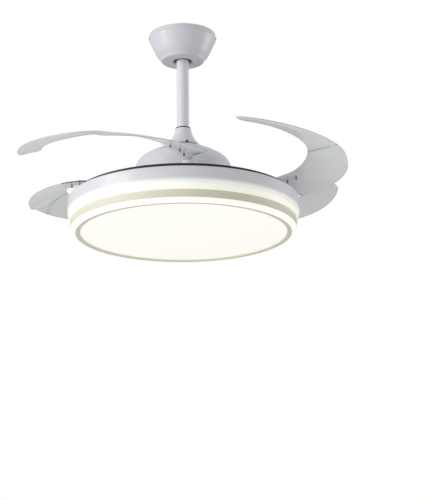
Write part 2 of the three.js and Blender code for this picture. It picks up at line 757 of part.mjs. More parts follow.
/** Outline of a spur gear whose first tooth, or first gap, points along +X. */
function gearShape(teeth, radius, gapFirst) {
  const shape = new THREE.Shape();
  const pitch = 360 / teeth;
  const halfThickness = THREE.MathUtils.radToDeg((Math.PI * radius) / teeth / 2 - gearBacklash / 2) / radius;
  const tip = radius + gearModule * 0.92;
  const root = radius - gearModule * 1.2;
  const flank = THREE.MathUtils.radToDeg(Math.tan(radians(20)) / radius);
  for (let i = 0; i < teeth; i += 1) {
    const azimuth = (i + (gapFirst ? 0.5 : 0)) * pitch;
    const atRoot = halfThickness + flank * gearModule * 1.2;
    const atTip = halfThickness - flank * gearModule * 0.92;
    const corners = [[root, -atRoot], [tip, -atTip], [tip, atTip], [root, atRoot]];
    corners.forEach(([r, offset], j) => {
      const p = polar(r, azimuth + offset);
      if (i === 0 && j === 0) shape.moveTo(p.x, p.y);
      else shape.lineTo(p.x, p.y);
    });
  }
  shape.closePath();
  return shape;
}

/** Adds a round hole to a shape. */
function withHole(shape, radius, segments, x = 0, y = 0) {
  const hole = new THREE.Path();
  for (let i = 0; i <= segments; i += 1) {
    const p = polar(radius, (-360 * i) / segments);
    if (i === 0) hole.moveTo(x + p.x, y + p.y);
    else hole.lineTo(x + p.x, y + p.y);
  }
  shape.holes.push(hole);
  return shape;
}

function ringGear() {
  return plate(withHole(gearShape(ringGearTeeth, ringGearRadius, false), ringGearBore, rotorSegments), gearLowZ, gearHighZ);
}

function pinion() {
  const bore = pinRadius + fitGap;
  return plate(withHole(gearShape(pinionTeeth, pinionRadius, true), bore, 12), gearLowZ, gearHighZ);
}

/** Cast spider: disc, four arms out to the pivots, bearing hub and the collar that guides the ring gear. */
function bladeCarrier() {
  const arms = [];
  for (let i = 0; i < bladeCount; i += 1) {
    const arm = new THREE.Shape();
    const rootAngle = 17;
    const root = polar(carrierDiscRadius - 1, rootAngle);
    arm.moveTo(root.x, -root.y);
    arm.lineTo(pivotRadius, -carrierBossRadius);
    arm.absarc(pivotRadius, 0, carrierBossRadius, -Math.PI / 2, Math.PI / 2, false);
    arm.lineTo(root.x, root.y);
    arm.closePath();
    arms.push(plate(arm, carrierZ, carrierTopZ, 6).rotateZ(radians((i * 360) / bladeCount)));
  }
  const disc = post(carrierDiscRadius, carrierZ, carrierTopZ, rotorSegments);
  const collar = ring(collarInner, collarOuter, carrierTopZ - 1, gearHighZ - 1, rotorSegments);
  const hub = post(hubRadius, carrierZ - carrierHubDrop, lowerBearingZ + bearingHeight, 24);
  const tools = [
    post(bearingOuterRadius + fitGap, lowerBearingZ - fitGap, lowerBearingZ + bearingHeight + 1, 24),
    post(shaftCollarRadius + runningGap, carrierZ - carrierHubDrop - 1, lowerBearingZ + 1, 24),
  ];
  for (let i = 0; i < bladeCount; i += 1) {
    const hole = post(pinRadius + fitGap, carrierZ - 1, carrierTopZ + 1, 12).translate(pivotRadius, 0, 0);
    tools.push(hole.rotateZ(radians((i * 360) / bladeCount)));
  }
  return cut(join(disc, ...arms, collar, hub), ...tools);
}

/** Pivot pin with a foot under the carrier and a head over the spring. */
function pivotPin() {
  const foot = carrierZ - fitGap;
  return turned([
    [0, pinLowZ],
    [pinRadius + 2.5, pinLowZ],
    [pinRadius + 2.5, foot],
    [pinRadius, foot],
    [pinRadius, headLowZ],
    [pinHeadRadius, headLowZ],
    [pinHeadRadius, headLowZ + pinHeadHeight],
    [0, headLowZ + pinHeadHeight],
  ], 12);
}

/** Torsion spring: one round wire wound up the pin. */
function returnSpring() {
  const perCurl = 8;
  const steps = springCurls * perCurl;
  const sides = 4;
  const climb = springHeight - springWire;
  const rings = [];
  for (let i = 0; i <= steps; i += 1) {
    const turn = (i / perCurl) * Math.PI * 2;
    const out = new THREE.Vector3(Math.cos(turn), Math.sin(turn), 0);
    const centre = out.clone().multiplyScalar(springRadius);
    centre.z = springLowZ + springWire / 2 + (climb * i) / steps;
    const section = [];
    for (let j = 0; j < sides; j += 1) {
      const a = (j / sides) * Math.PI * 2;
      const p = centre.clone().addScaledVector(out, (Math.cos(a) * springWire) / 2);
      p.z += (Math.sin(a) * springWire) / 2;
      section.push(p);
    }
    rings.push(section.reverse());
  }
  return loft(rings);
}

// ---------------------------------------------------------------- blades

const rootStations = 8; // along the blade's root part
const sectionSpots = [0, 0.1, 0.5, 0.9, 1]; // across the blade, inner to outer edge

/** Share of the arc reached at station t of the outer edge, which trails at the root. */
function outerShare(t) {
  const beforeRoot = Math.min(t, 0);
  return beforeRoot + along([[0, bladeRootShear], [bladeStep, bladeStep + bladeStepShear], [1, 1]], t);
}

/** Point of the blade's middle surface, closed: t runs root to tip, u inner to outer edge. */
function bladePoint(t, u, lift = 0) {
  const share = t + (outerShare(t) - t) * u;
  const azimuth = radians(-bladeRootLag - bladeSpan * share);
  const inner = curved(bladeInnerReaches, share);
  const outer = curved(bladeOuterReaches, share);
  const radius = pivotRadius + inner + (outer - inner) * u;
  const camber = bladeCamber * Math.sin(Math.PI * THREE.MathUtils.clamp(u, 0, 1));
  const z = hubHighZ + curved(bladeInnerRises, t) - along(bladeEdgeDrops, t) * u + camber + lift;
  return new THREE.Vector3(radius * Math.cos(azimuth), radius * Math.sin(azimuth), z);
}

/** Stations along the blade, close together where the outer edge steps and at the round tip. */
function bladeStations() {
  const stations = [];
  const tipStart = 1 - bladeTipShare();
  for (let i = 0; i <= rootStations; i += 1) stations.push((bladeStep * i) / rootStations);
  const stepEnd = bladeStep + 0.015;
  for (let i = 0; i <= 10; i += 1) stations.push(stepEnd + ((tipStart - stepEnd) * i) / 10);
  for (let i = 1; i <= 4; i += 1) stations.push(tipStart + bladeTipShare() * Math.sin((i / 4.3) * (Math.PI / 2)));
  return stations;
}

function bladeTipShare() {
  const tipRadius = pivotRadius + (curved(bladeInnerReaches, 1) + curved(bladeOuterReaches, 1)) / 2;
  return bladeTipRounding / (tipRadius * radians(bladeSpan));
}

/** One crescent blade: thin cambered sections, with slim edges and a round tip. */
function crescentBlade(allowance = 0) {
  const tipStart = 1 - bladeTipShare();
  const stations = bladeStations();
  stations[0] -= allowance / (pivotRadius * radians(bladeSpan));
  const rings = stations.map((t) => {
    const past = Math.max(0, (t - tipStart) / bladeTipShare());
    const width = Math.sqrt(Math.max(0.002, 1 - past * past));
    const at = (u, side) => {
      const edge = u === 0 || u === 1 ? 0.4 : 1;
      const lift = side * ((edge * bladeThickness) / 2 + allowance);
      return bladePoint(t, 0.5 + (u - 0.5) * width, lift);
    };
    const top = sectionSpots.map((u) => at(u, 1));
    const bottom = [...sectionSpots].reverse().map((u) => at(u, -1));
    return [...top, ...bottom];
  });
  return loft(rings.map((section) => section.reverse()));
}

/** Block that follows the blade's root between two offsets from its middle surface. */
function rootBlock(lowLift, highLift) {
  const rings = [];
  for (let i = -1; i <= 5; i += 1) {
    const t = (bladeStep * i) / rootStations;
    const us = [-0.25, ...sectionSpots];
    const top = us.map((u) => bladePoint(t, u, highLift));
    const bottom = [...us].reverse().map((u) => bladePoint(t, u, lowLift));
    rings.push([...top, ...bottom].reverse());
  }
  return loft(rings);
}

/** Outline of the holder along the inner edge of the blade, shrunk by an inset. */
function holderOutline(inset) {
  const shape = new THREE.Shape();
  const inner = pivotRadius + holderInnerReach + inset;
  const outer = pivotRadius + holderOuterReach - inset;
  const insetAngle = THREE.MathUtils.radToDeg(inset / pivotRadius);
  const near = inset > 0 ? -bladeRootLag - insetAngle : 0;
  const far = -holderReach + insetAngle;
  const corners = [
    [inner, near],
    [inner, far * 0.35],
    [inner, far * 0.68],
    [inner, far],
    [outer, far],
    [outer, far * 0.75],
    [outer - 6, far * 0.55],
    [pivotRadius + holderHubRadius - 2 - inset, near],
  ];
  corners.forEach(([r, azimuth], i) => {
    const p = polar(r, azimuth);
    if (i === 0) shape.moveTo(p.x, p.y);
    else shape.lineTo(p.x, p.y);
  });
  shape.closePath();
  return shape;
}

/** Holder: hub on the pivot pin and a plate that follows the underside of the blade's root. */
function bladeHolder() {
  const under = -bladeThickness / 2 - fitGap;
  const prism = plate(holderOutline(0), hubLowZ, hubHighZ * 3);
  const lip = -fitGap;
  const seat = cut(common(prism, rootBlock(under - holderPlateThickness, lip)), crescentBlade(fitGap));
  const hub = post(holderHubRadius, hubLowZ, hubHighZ, 16).translate(pivotRadius, 0, 0);
  const bore = post(pinRadius + fitGap, hubLowZ - 1, hubHighZ * 3, 12).translate(pivotRadius, 0, 0);
  const above = post(holderHubRadius + 1, hubHighZ, hubHighZ * 3, 16).translate(pivotRadius, 0, 0);
  return cut(join(hub, seat), bore, above);
}

/** Clamp plate on top of the blade's root. */
function bladeClamp() {
  const over = bladeThickness / 2 + fitGap;
  const prism = plate(holderOutline(clampInset), hubLowZ, hubHighZ * 3);
  return cut(common(prism, rootBlock(fitGap / 2, over + clampThickness)), crescentBlade(fitGap));
}

function addBlades(rotor) {
  place(rotor, 'blade_carrier', bladeCarrier(), 'castAluminium');
  place(rotor, 'sync_ring_gear', ringGear(), 'nylon');
  const shapes = {
    pin: pivotPin(),
    spring: returnSpring(),
    blade: crescentBlade(),
    holder: bladeHolder(),
    clamp: bladeClamp(),
    pinion: pinion().rotateZ(Math.PI - radians(restOpening)),
  };
  for (const part of ['blade', 'holder', 'clamp']) shapes[part].translate(-pivotRadius, 0, 0);
  for (let i = 0; i < bladeCount; i += 1) {
    const station = new THREE.Group();
    station.rotation.z = radians((i * 360) / bladeCount);
    rotor.add(station);
    const fixed = new THREE.Group();
    fixed.position.x = pivotRadius;
    station.add(fixed);
    place(fixed, `pivot_pin_${i + 1}`, shapes.pin, 'steel');
    place(fixed, `return_spring_${i + 1}`, shapes.spring, 'steel');
    const swung = new THREE.Group();
    swung.position.x = pivotRadius;
    swung.rotation.z = radians(restOpening);
    station.add(swung);
    place(swung, `blade_${i + 1}`, shapes.blade, 'smokeAcrylic');
    place(swung, `blade_holder_${i + 1}`, shapes.holder, 'whitePlastic');
    place(swung, `blade_clamp_${i + 1}`, shapes.clamp, 'steel');
    place(swung, `blade_pinion_${i + 1}`, shapes.pinion, 'nylon');
  }
}

// ---------------------------------------------------------------- lamp

const lampSegments = 40;
const housingInner = lampRadius - housingWall;
const chassisRadius = lampRadius - chassisInset;
const upperRingRadius = housingInner - upperRingInset;
const bandRadius = upperRingRadius - bandInset;
const lowerRingRadius = bandRadius - lowerRingInset;
const lowerRingFootRadius = lowerRingRadius - lowerRingRun;
const upperRingLow = -housingHeight - upperRingVisible;
const bandHigh = upperRingLow - fitGap;
const bandLow = bandHigh - bandHeight;
const lowerRingHigh = bandLow - fitGap;
const lampBottomZ = lowerRingHigh - lowerRingHeight;
const bezelOuter = lowerRingFootRadius - fitGap;
const bezelTop = lampBottomZ + bezelThickness;
const diffuserRadius = bezelOuter - bezelWidth / 4;
const diffuserLow = bezelTop + fitGap;

/** Pressed steel pan that closes the lamp's top, clamped on the shaft's collar. */
function lampChassis() {
  return turned([
    [shaftRadius + fitGap, chassisLowZ],
    [chassisRadius - chassisWall, chassisLowZ],
    [chassisRadius - chassisWall, fitGap],
    [chassisRadius, fitGap],
    [chassisRadius, chassisTopZ],
    [shaftRadius + fitGap, chassisTopZ],
  ], lampSegments);
}

/** White drum: straight wall with a flange under the chassis. */
function lightHousing() {
  const round = 1.5;
  return turned([
    [lampRadius - housingFlange, -housingWall],
    [housingInner, -housingWall],
    [housingInner, -housingHeight],
    [lampRadius, -housingHeight],
    [lampRadius, -round],
    [lampRadius - round, 0],
    [lampRadius - housingFlange, 0],
  ], lampSegments);
}

/** Opal ring between the drum and the band; its rim reaches up inside the drum. */
function upperLightRing() {
  const top = -housingHeight + upperRingHidden;
  const inner = upperRingRadius - lightRingWall;
  return turned([
    [upperRingRadius - upperRingFlange, upperRingLow],
    [upperRingRadius, upperRingLow],
    [upperRingRadius, top],
    [inner, top],
    [inner, upperRingLow + 3],
    [upperRingRadius - upperRingFlange, upperRingLow + 3],
  ], lampSegments);
}

function bandRing() {
  return ring(bandRadius - bandWall, bandRadius, bandLow, bandHigh, lampSegments);
}

/** Opal ring under the band, rounded in to the foot that holds the bezel. */
function lowerLightRing() {
  const foot = lowerRingFootRadius;
  const ledgeTop = diffuserLow + diffuserThickness;
  const shoulder = lowerRingRadius;
  return turned([
    [foot, lampBottomZ],
    [foot + (shoulder - foot) * 0.5, lampBottomZ + lowerRingHeight * 0.12],
    [foot + (shoulder - foot) * 0.85, lampBottomZ + lowerRingHeight * 0.45],
    [shoulder, lowerRingHigh],
    [shoulder - lightRingWall, lowerRingHigh],
    [shoulder - lightRingWall, ledgeTop],
    [diffuserRadius + fitGap, ledgeTop],
    [diffuserRadius + fitGap, diffuserLow],
    [foot, diffuserLow],
  ], lampSegments);
}

function nut() {
  const shape = new THREE.Shape();
  const corner = nutAcrossFlats / 2 / Math.cos(Math.PI / 6);
  for (let i = 0; i < 6; i += 1) {
    const p = polar(corner, i * 60);
    if (i === 0) shape.moveTo(p.x, p.y);
    else shape.lineTo(p.x, p.y);
  }
  shape.closePath();
  const top = chassisLowZ - fitGap * 2 - hubPlateThickness;
  return plate(withHole(shape, shaftRadius + fitGap, 24), top - nutHeight, top);
}

function addLamp() {
  const hubPlateHigh = chassisLowZ - fitGap;
  const hubPlateLow = hubPlateHigh - hubPlateThickness;
  const hubPlate = ring(shaftRadius + fitGap, hubPlateRadius, hubPlateLow, hubPlateHigh);
  const board = ring(hubPlateRadius + 2, boardRadius, hubPlateHigh - boardThickness, hubPlateHigh, lampSegments);
  const driverTop = hubPlateLow - fitGap;
  const driver = box(driverLength, driverWidth, driverTop - driverHeight, driverTop)
    .translate(0, driverOffset + driverWidth / 2, 0);
  place(belowCeiling, 'lamp_chassis', lampChassis(), 'blackPaint');
  place(belowCeiling, 'lamp_hub_plate', hubPlate, 'zinc');
  place(belowCeiling, 'shaft_nut', nut(), 'steel');
  place(belowCeiling, 'led_board', board, 'board');
  place(belowCeiling, 'led_driver', driver, 'whitePlastic');
  place(belowCeiling, 'light_housing', lightHousing(), 'whitePaint');
  place(belowCeiling, 'upper_light_ring', upperLightRing(), 'opalAcrylic');
  place(belowCeiling, 'band_ring', bandRing(), 'khakiPaint');
  place(belowCeiling, 'lower_light_ring', lowerLightRing(), 'opalAcrylic');
  const bezel = ring(bezelOuter - bezelWidth, bezelOuter, lampBottomZ, bezelTop, lampSegments);
  place(belowCeiling, 'bezel_ring', bezel, 'khakiPaint');
  const diffuser = post(diffuserRadius, diffuserLow, diffuserLow + diffuserThickness, lampSegments);
  place(belowCeiling, 'diffuser', diffuser, 'opalAcrylic');
}

// ---------------------------------------------------------------- assembly

const rotor = new THREE.Group();
rotor.rotation.z = radians(pivotAzimuth);
belowCeiling.add(rotor);

addCeilingFixing();
addDownrod();
addMotor(rotor);
addBlades(rotor);
addLamp();

export default fan;
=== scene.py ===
"""Looks of a retractable blade ceiling fan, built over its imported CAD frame.

Every length is in metres. Heights called *_z are above the lamp's top rim, whose place comes from the frame.
Round pieces are profiles turned about the fan's axis, and the crescent blades are surfaces of two parameters.
"""

import sys
import json
import logging
import math
from dataclasses import dataclass, replace
from enum import Enum
from typing import Iterable, Sequence

import bmesh
import bpy
import numpy as np
from mathutils import Euler, Matrix, Vector
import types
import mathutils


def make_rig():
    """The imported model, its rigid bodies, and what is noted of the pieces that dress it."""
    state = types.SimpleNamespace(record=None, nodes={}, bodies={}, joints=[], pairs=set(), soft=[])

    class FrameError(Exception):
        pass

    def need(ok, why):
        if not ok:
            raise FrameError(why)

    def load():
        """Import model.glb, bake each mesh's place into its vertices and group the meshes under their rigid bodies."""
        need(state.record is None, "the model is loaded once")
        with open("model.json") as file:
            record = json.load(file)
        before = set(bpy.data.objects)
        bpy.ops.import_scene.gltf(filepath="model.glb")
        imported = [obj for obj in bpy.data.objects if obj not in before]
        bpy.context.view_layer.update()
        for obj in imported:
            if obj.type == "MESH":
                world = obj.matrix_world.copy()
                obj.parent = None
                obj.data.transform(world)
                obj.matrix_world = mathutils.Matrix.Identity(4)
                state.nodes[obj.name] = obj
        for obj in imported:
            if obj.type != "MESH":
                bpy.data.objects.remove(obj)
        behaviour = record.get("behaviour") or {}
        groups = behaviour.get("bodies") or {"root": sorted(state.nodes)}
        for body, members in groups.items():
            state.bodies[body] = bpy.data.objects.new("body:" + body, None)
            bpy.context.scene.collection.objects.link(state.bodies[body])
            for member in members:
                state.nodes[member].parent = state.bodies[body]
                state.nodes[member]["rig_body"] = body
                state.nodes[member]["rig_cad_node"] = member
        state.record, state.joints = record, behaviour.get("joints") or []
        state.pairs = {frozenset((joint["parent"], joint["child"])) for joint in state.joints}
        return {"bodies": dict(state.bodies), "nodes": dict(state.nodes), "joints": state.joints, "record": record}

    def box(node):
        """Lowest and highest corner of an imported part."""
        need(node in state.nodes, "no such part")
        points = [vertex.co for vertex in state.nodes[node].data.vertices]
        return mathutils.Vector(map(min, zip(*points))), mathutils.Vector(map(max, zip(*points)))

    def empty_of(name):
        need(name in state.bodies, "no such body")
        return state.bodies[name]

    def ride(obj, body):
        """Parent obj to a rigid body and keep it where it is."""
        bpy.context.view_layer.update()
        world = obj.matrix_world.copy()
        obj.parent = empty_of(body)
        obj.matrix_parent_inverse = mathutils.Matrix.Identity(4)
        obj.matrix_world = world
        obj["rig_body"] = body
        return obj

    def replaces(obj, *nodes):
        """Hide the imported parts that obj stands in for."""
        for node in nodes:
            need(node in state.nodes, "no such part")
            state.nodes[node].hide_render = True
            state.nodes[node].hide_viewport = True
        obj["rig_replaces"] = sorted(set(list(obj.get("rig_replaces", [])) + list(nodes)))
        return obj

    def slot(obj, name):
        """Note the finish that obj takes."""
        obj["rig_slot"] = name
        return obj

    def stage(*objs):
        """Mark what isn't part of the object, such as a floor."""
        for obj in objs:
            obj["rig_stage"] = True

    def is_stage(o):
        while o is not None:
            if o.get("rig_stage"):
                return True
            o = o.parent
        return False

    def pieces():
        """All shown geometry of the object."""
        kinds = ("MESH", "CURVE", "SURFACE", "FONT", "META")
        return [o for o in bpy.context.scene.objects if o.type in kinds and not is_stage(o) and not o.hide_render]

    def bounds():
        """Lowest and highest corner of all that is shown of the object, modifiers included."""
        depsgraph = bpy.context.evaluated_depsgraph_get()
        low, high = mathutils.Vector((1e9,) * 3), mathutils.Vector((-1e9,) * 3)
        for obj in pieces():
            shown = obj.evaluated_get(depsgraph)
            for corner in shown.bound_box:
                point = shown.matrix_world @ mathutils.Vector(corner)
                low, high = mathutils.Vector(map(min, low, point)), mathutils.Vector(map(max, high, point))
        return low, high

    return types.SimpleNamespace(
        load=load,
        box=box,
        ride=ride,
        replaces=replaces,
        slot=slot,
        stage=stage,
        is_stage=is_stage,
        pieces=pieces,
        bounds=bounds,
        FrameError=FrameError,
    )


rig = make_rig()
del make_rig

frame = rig.load()
cad_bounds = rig.bounds()

log = logging.getLogger("fan")

Colour = tuple[float, float, float]
Place = tuple[float, float, float]
Knots = Sequence[tuple[float, float]]

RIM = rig.box("light_housing")[1].z  # world height of the lamp's top rim
BLADE_COUNT = 4
ROUND = 192  # facets round a large turned piece
SMALL_ROUND = 64  # facets round a small one
SCREW_ROUND = 24  # facets round a screw
SEAT_GAP = 0.0003  # between pieces that seat on each other


# ---------------------------------------------------------------- surfaces worked out with numpy


def curve_through(knots: Knots, x: np.ndarray) -> np.ndarray:
    """Smooth curve through knots: a cubic between each two, with slopes taken from their neighbours.

    Args:
        knots: (x, value) pairs in rising order of x.
        x: where the curve is read; it stays level past its ends.

    Returns:
        The curve's value at each x.
    """
    kx, ky = np.array(knots, float).T
    slopes = _knot_slopes(kx, ky)
    x = np.clip(x, kx[0], kx[-1])
    i = np.clip(np.searchsorted(kx, x, side="right") - 1, 0, len(kx) - 2)
    width = kx[i + 1] - kx[i]
    s = (x - kx[i]) / width
    rise = s * s * (3 - 2 * s)
    near = slopes[i] * width * s * (1 - s) ** 2
    far = slopes[i + 1] * width * s * s * (1 - s)
    return ky[i] * (1 - rise) + ky[i + 1] * rise + near - far


def _knot_slopes(kx: np.ndarray, ky: np.ndarray) -> np.ndarray:
    """Slope at each knot: across both neighbours inside, along the end piece at either end."""
    inner = (ky[2:] - ky[:-2]) / (kx[2:] - kx[:-2])
    first = (ky[1] - ky[0]) / (kx[1] - kx[0])
    last = (ky[-1] - ky[-2]) / (kx[-1] - kx[-2])
    return np.concatenate([[first], inner, [last]])


def spline(points: Knots, count: int) -> np.ndarray:
    """Smooth open line through points, each coordinate a cubic in the length run so far.

    Args:
        points: (radius, height) pairs.
        count: how many points the line gets.

    Returns:
        Array of count (radius, height) pairs.
    """
    given = np.array(points, float)
    run = np.concatenate([[0], np.cumsum(np.hypot(*np.diff(given, axis=0).T))])
    where = np.linspace(0, run[-1], count)
    columns = [curve_through(list(zip(run, given[:, k])), where) for k in range(2)]
    return np.stack(columns, axis=1)


def eased(corners: Knots, ease: float, steps: int = 5) -> np.ndarray:
    """Closed outline whose corners are rounded by a parabola that touches both sides.

    A corner P with touching points A and B becomes (1-s)^2 A + 2s(1-s) P + s^2 B. The straight stretches
    get a point close to each end, so that smooth shading stays flat between the corners.

    Args:
        corners: (radius, height) pairs in order round the outline.
        ease: distance from a corner to where its rounding starts.
        steps: points on each rounding.

    Returns:
        Array of (radius, height) pairs.
    """
    p = np.array(corners, float)
    ahead = np.roll(p, -1, axis=0) - p
    length = np.hypot(*ahead.T)
    back_length = np.roll(length, 1)
    reach = np.minimum(ease, 0.45 * np.minimum(length, back_length))[:, None]
    a = p - np.roll(ahead, 1, axis=0) / back_length[:, None] * reach
    b = p + ahead / length[:, None] * reach
    s = np.linspace(0, 1, steps)[None, :, None]
    bend = (1 - s) ** 2 * a[:, None] + 2 * s * (1 - s) * p[:, None] + s**2 * b[:, None]
    next_a = np.roll(a, -1, axis=0)
    near = b + (next_a - b) * 0.04
    far = b + (next_a - b) * 0.96
    return np.concatenate([bend, near[:, None], far[:, None]], axis=1).reshape(-1, 2)


def turned(profile: np.ndarray, segments: int = ROUND) -> np.ndarray:
    """Grid of a profile turned about Z: x = r cos a, y = r sin a, z as in the profile."""
    angle = np.linspace(0, 2 * math.pi, segments, endpoint=False)
    r, z = profile[:, :1], profile[:, 1:]
    return np.stack([r * np.cos(angle), r * np.sin(angle), z + 0 * angle], axis=2)


def boxed(inner: float, outer: float, low: float, high: float) -> list[tuple[float, float]]:
    """Corners of a plain rectangular profile."""
    return [(inner, low), (outer, low), (outer, high), (inner, high)]


def ringed(rows: Sequence[tuple[float | np.ndarray, float]], angle: np.ndarray) -> np.ndarray:
    """Grid round the fan's axis of level rows: x = r cos a, y = r sin a, z the row's height above the rim.

    Args:
        rows: (radius, height) pairs; a radius is one value or one for each angle.
        angle: the columns' angles.

    Returns:
        The grid.
    """
    radii = np.stack([np.broadcast_to(r, angle.shape) for r, _ in rows])
    heights = np.array([z for _, z in rows])[:, None] + 0 * angle
    return np.stack([radii * np.cos(angle), radii * np.sin(angle), heights + RIM], axis=2)


def turned_to(points: np.ndarray, angle: float, pivot: tuple[float, float] = (0, 0)) -> np.ndarray:
    """Points turned about a vertical line by an angle in radians."""
    c, s = math.cos(angle), math.sin(angle)
    x, y = points[..., 0] - pivot[0], points[..., 1] - pivot[1]
    return np.stack([pivot[0] + c * x - s * y, pivot[1] + s * x + c * y, points[..., 2]], axis=-1)


def moved(points: np.ndarray, x: float = 0, y: float = 0, z: float = 0) -> np.ndarray:
    """Points moved by a step."""
    return points + np.array([x, y, z])


def laid_along(points: np.ndarray, direction: Sequence[float], at: Sequence[float]) -> np.ndarray:
    """Points whose own Z is laid along a direction, then moved to a place.

    Args:
        points: array whose last axis is x, y, z.
        direction: where the points' Z goes.
        at: where their origin goes.

    Returns:
        The points in their new place.
    """
    turn = Vector(direction).to_track_quat("Z", "Y").to_matrix()
    return points @ np.array(turn).T + np.array(at)


class Ends(Enum):
    """How the first and last rows of a grid are closed."""

    RING = "joined to each other"
    CAPS = "each filled with one face"


def skin(
    name: str, grids: Iterable[np.ndarray], ends: Ends = Ends.RING, marks: np.ndarray | None = None
) -> bpy.types.Object:
    """One smooth mesh from grids of rows by columns, whose columns always close on themselves.

    Args:
        name: the new object's name.
        grids: arrays of rows x columns x 3.
        ends: how rows close.
        marks: one value for each point, kept as the attribute "mark".

    Returns:
        The mesh object, linked to the scene, with its faces pointing out.
    """
    places, faces, start = [], [], 0
    for grid in grids:
        rows, columns = grid.shape[:2]
        index = np.arange(rows * columns).reshape(rows, columns) + start
        across = np.roll(index, -1, axis=1)
        down, down_across = np.roll(index, -1, axis=0), np.roll(across, -1, axis=0)
        quads = np.stack([index, across, down_across, down], axis=2)
        quads = quads if ends is Ends.RING else quads[:-1]
        faces += quads.reshape(-1, 4).tolist()
        if ends is Ends.CAPS:
            faces += [index[0][::-1].tolist(), index[-1].tolist()]
        places.append(grid.reshape(-1, 3))
        start += rows * columns
    mesh = bpy.data.meshes.new(name)
    mesh.from_pydata(np.concatenate(places), [], faces)
    if marks is not None:
        mesh.attributes.new("mark", "FLOAT", "POINT").data.foreach_set("value", marks.ravel())
    shell = bmesh.new()
    shell.from_mesh(mesh)
    bmesh.ops.remove_doubles(shell, verts=shell.verts, dist=1e-7)
    bmesh.ops.recalc_face_normals(shell, faces=shell.faces)
    shell.to_mesh(mesh)
    shell.free()
    mesh.polygons.foreach_set("use_smooth", np.ones(len(mesh.polygons), bool))
    piece = bpy.data.objects.new(name, mesh)
    bpy.context.scene.collection.objects.link(piece)
    return piece


def creased(piece: bpy.types.Object, degrees: float = 32) -> bpy.types.Object:
    """Marks edges that turn by more than an angle as sharp."""
    piece.data.set_sharp_from_angle(angle=math.radians(degrees))
    return piece


# ---------------------------------------------------------------- finishes


class Grain(Enum):
    """What the fine surface of a finish looks like."""

    COAT = "sprayed coat with a faint ripple"
    TURNED = "rings left by a lathe"
    CAST = "rough skin of a casting"
    STACK = "edges of stacked sheets"
    WOUND = "strands of wire"


def _group(name: str, inputs: dict[str, str], outputs: dict[str, str]) -> bpy.types.NodeTree:
    """Empty node group with named sockets and with nodes for its own two ends.

    Args:
        name: the group's name.
        inputs: each input and its kind, such as Float.
        outputs: each output and its kind.

    Returns:
        The group.
    """
    group = bpy.data.node_groups.new(name, "ShaderNodeTree")
    for end, sockets in (("INPUT", inputs), ("OUTPUT", outputs)):
        for label, kind in sockets.items():
            group.interface.new_socket(label, in_out=end, socket_type=f"NodeSocket{kind}")
    group.nodes.new("NodeGroupInput")
    group.nodes.new("NodeGroupOutput")
    return group


def _node(
    tree: bpy.types.NodeTree, kind: str, values: dict[int | str, object] | None = None, **settings: object
) -> bpy.types.Node:
    """New node with its settings and the values of its inputs.

    Args:
        tree: the tree that gets it.
        kind: its type.
        values: each input, by its name or number, and its value.
        settings: each of the node's own settings.

    Returns:
        The node.
    """
    node = tree.nodes.new(kind)
    for key, value in settings.items():
        setattr(node, key, value)
    for key, value in (values or {}).items():
        node.inputs[key].default_value = value
    return node


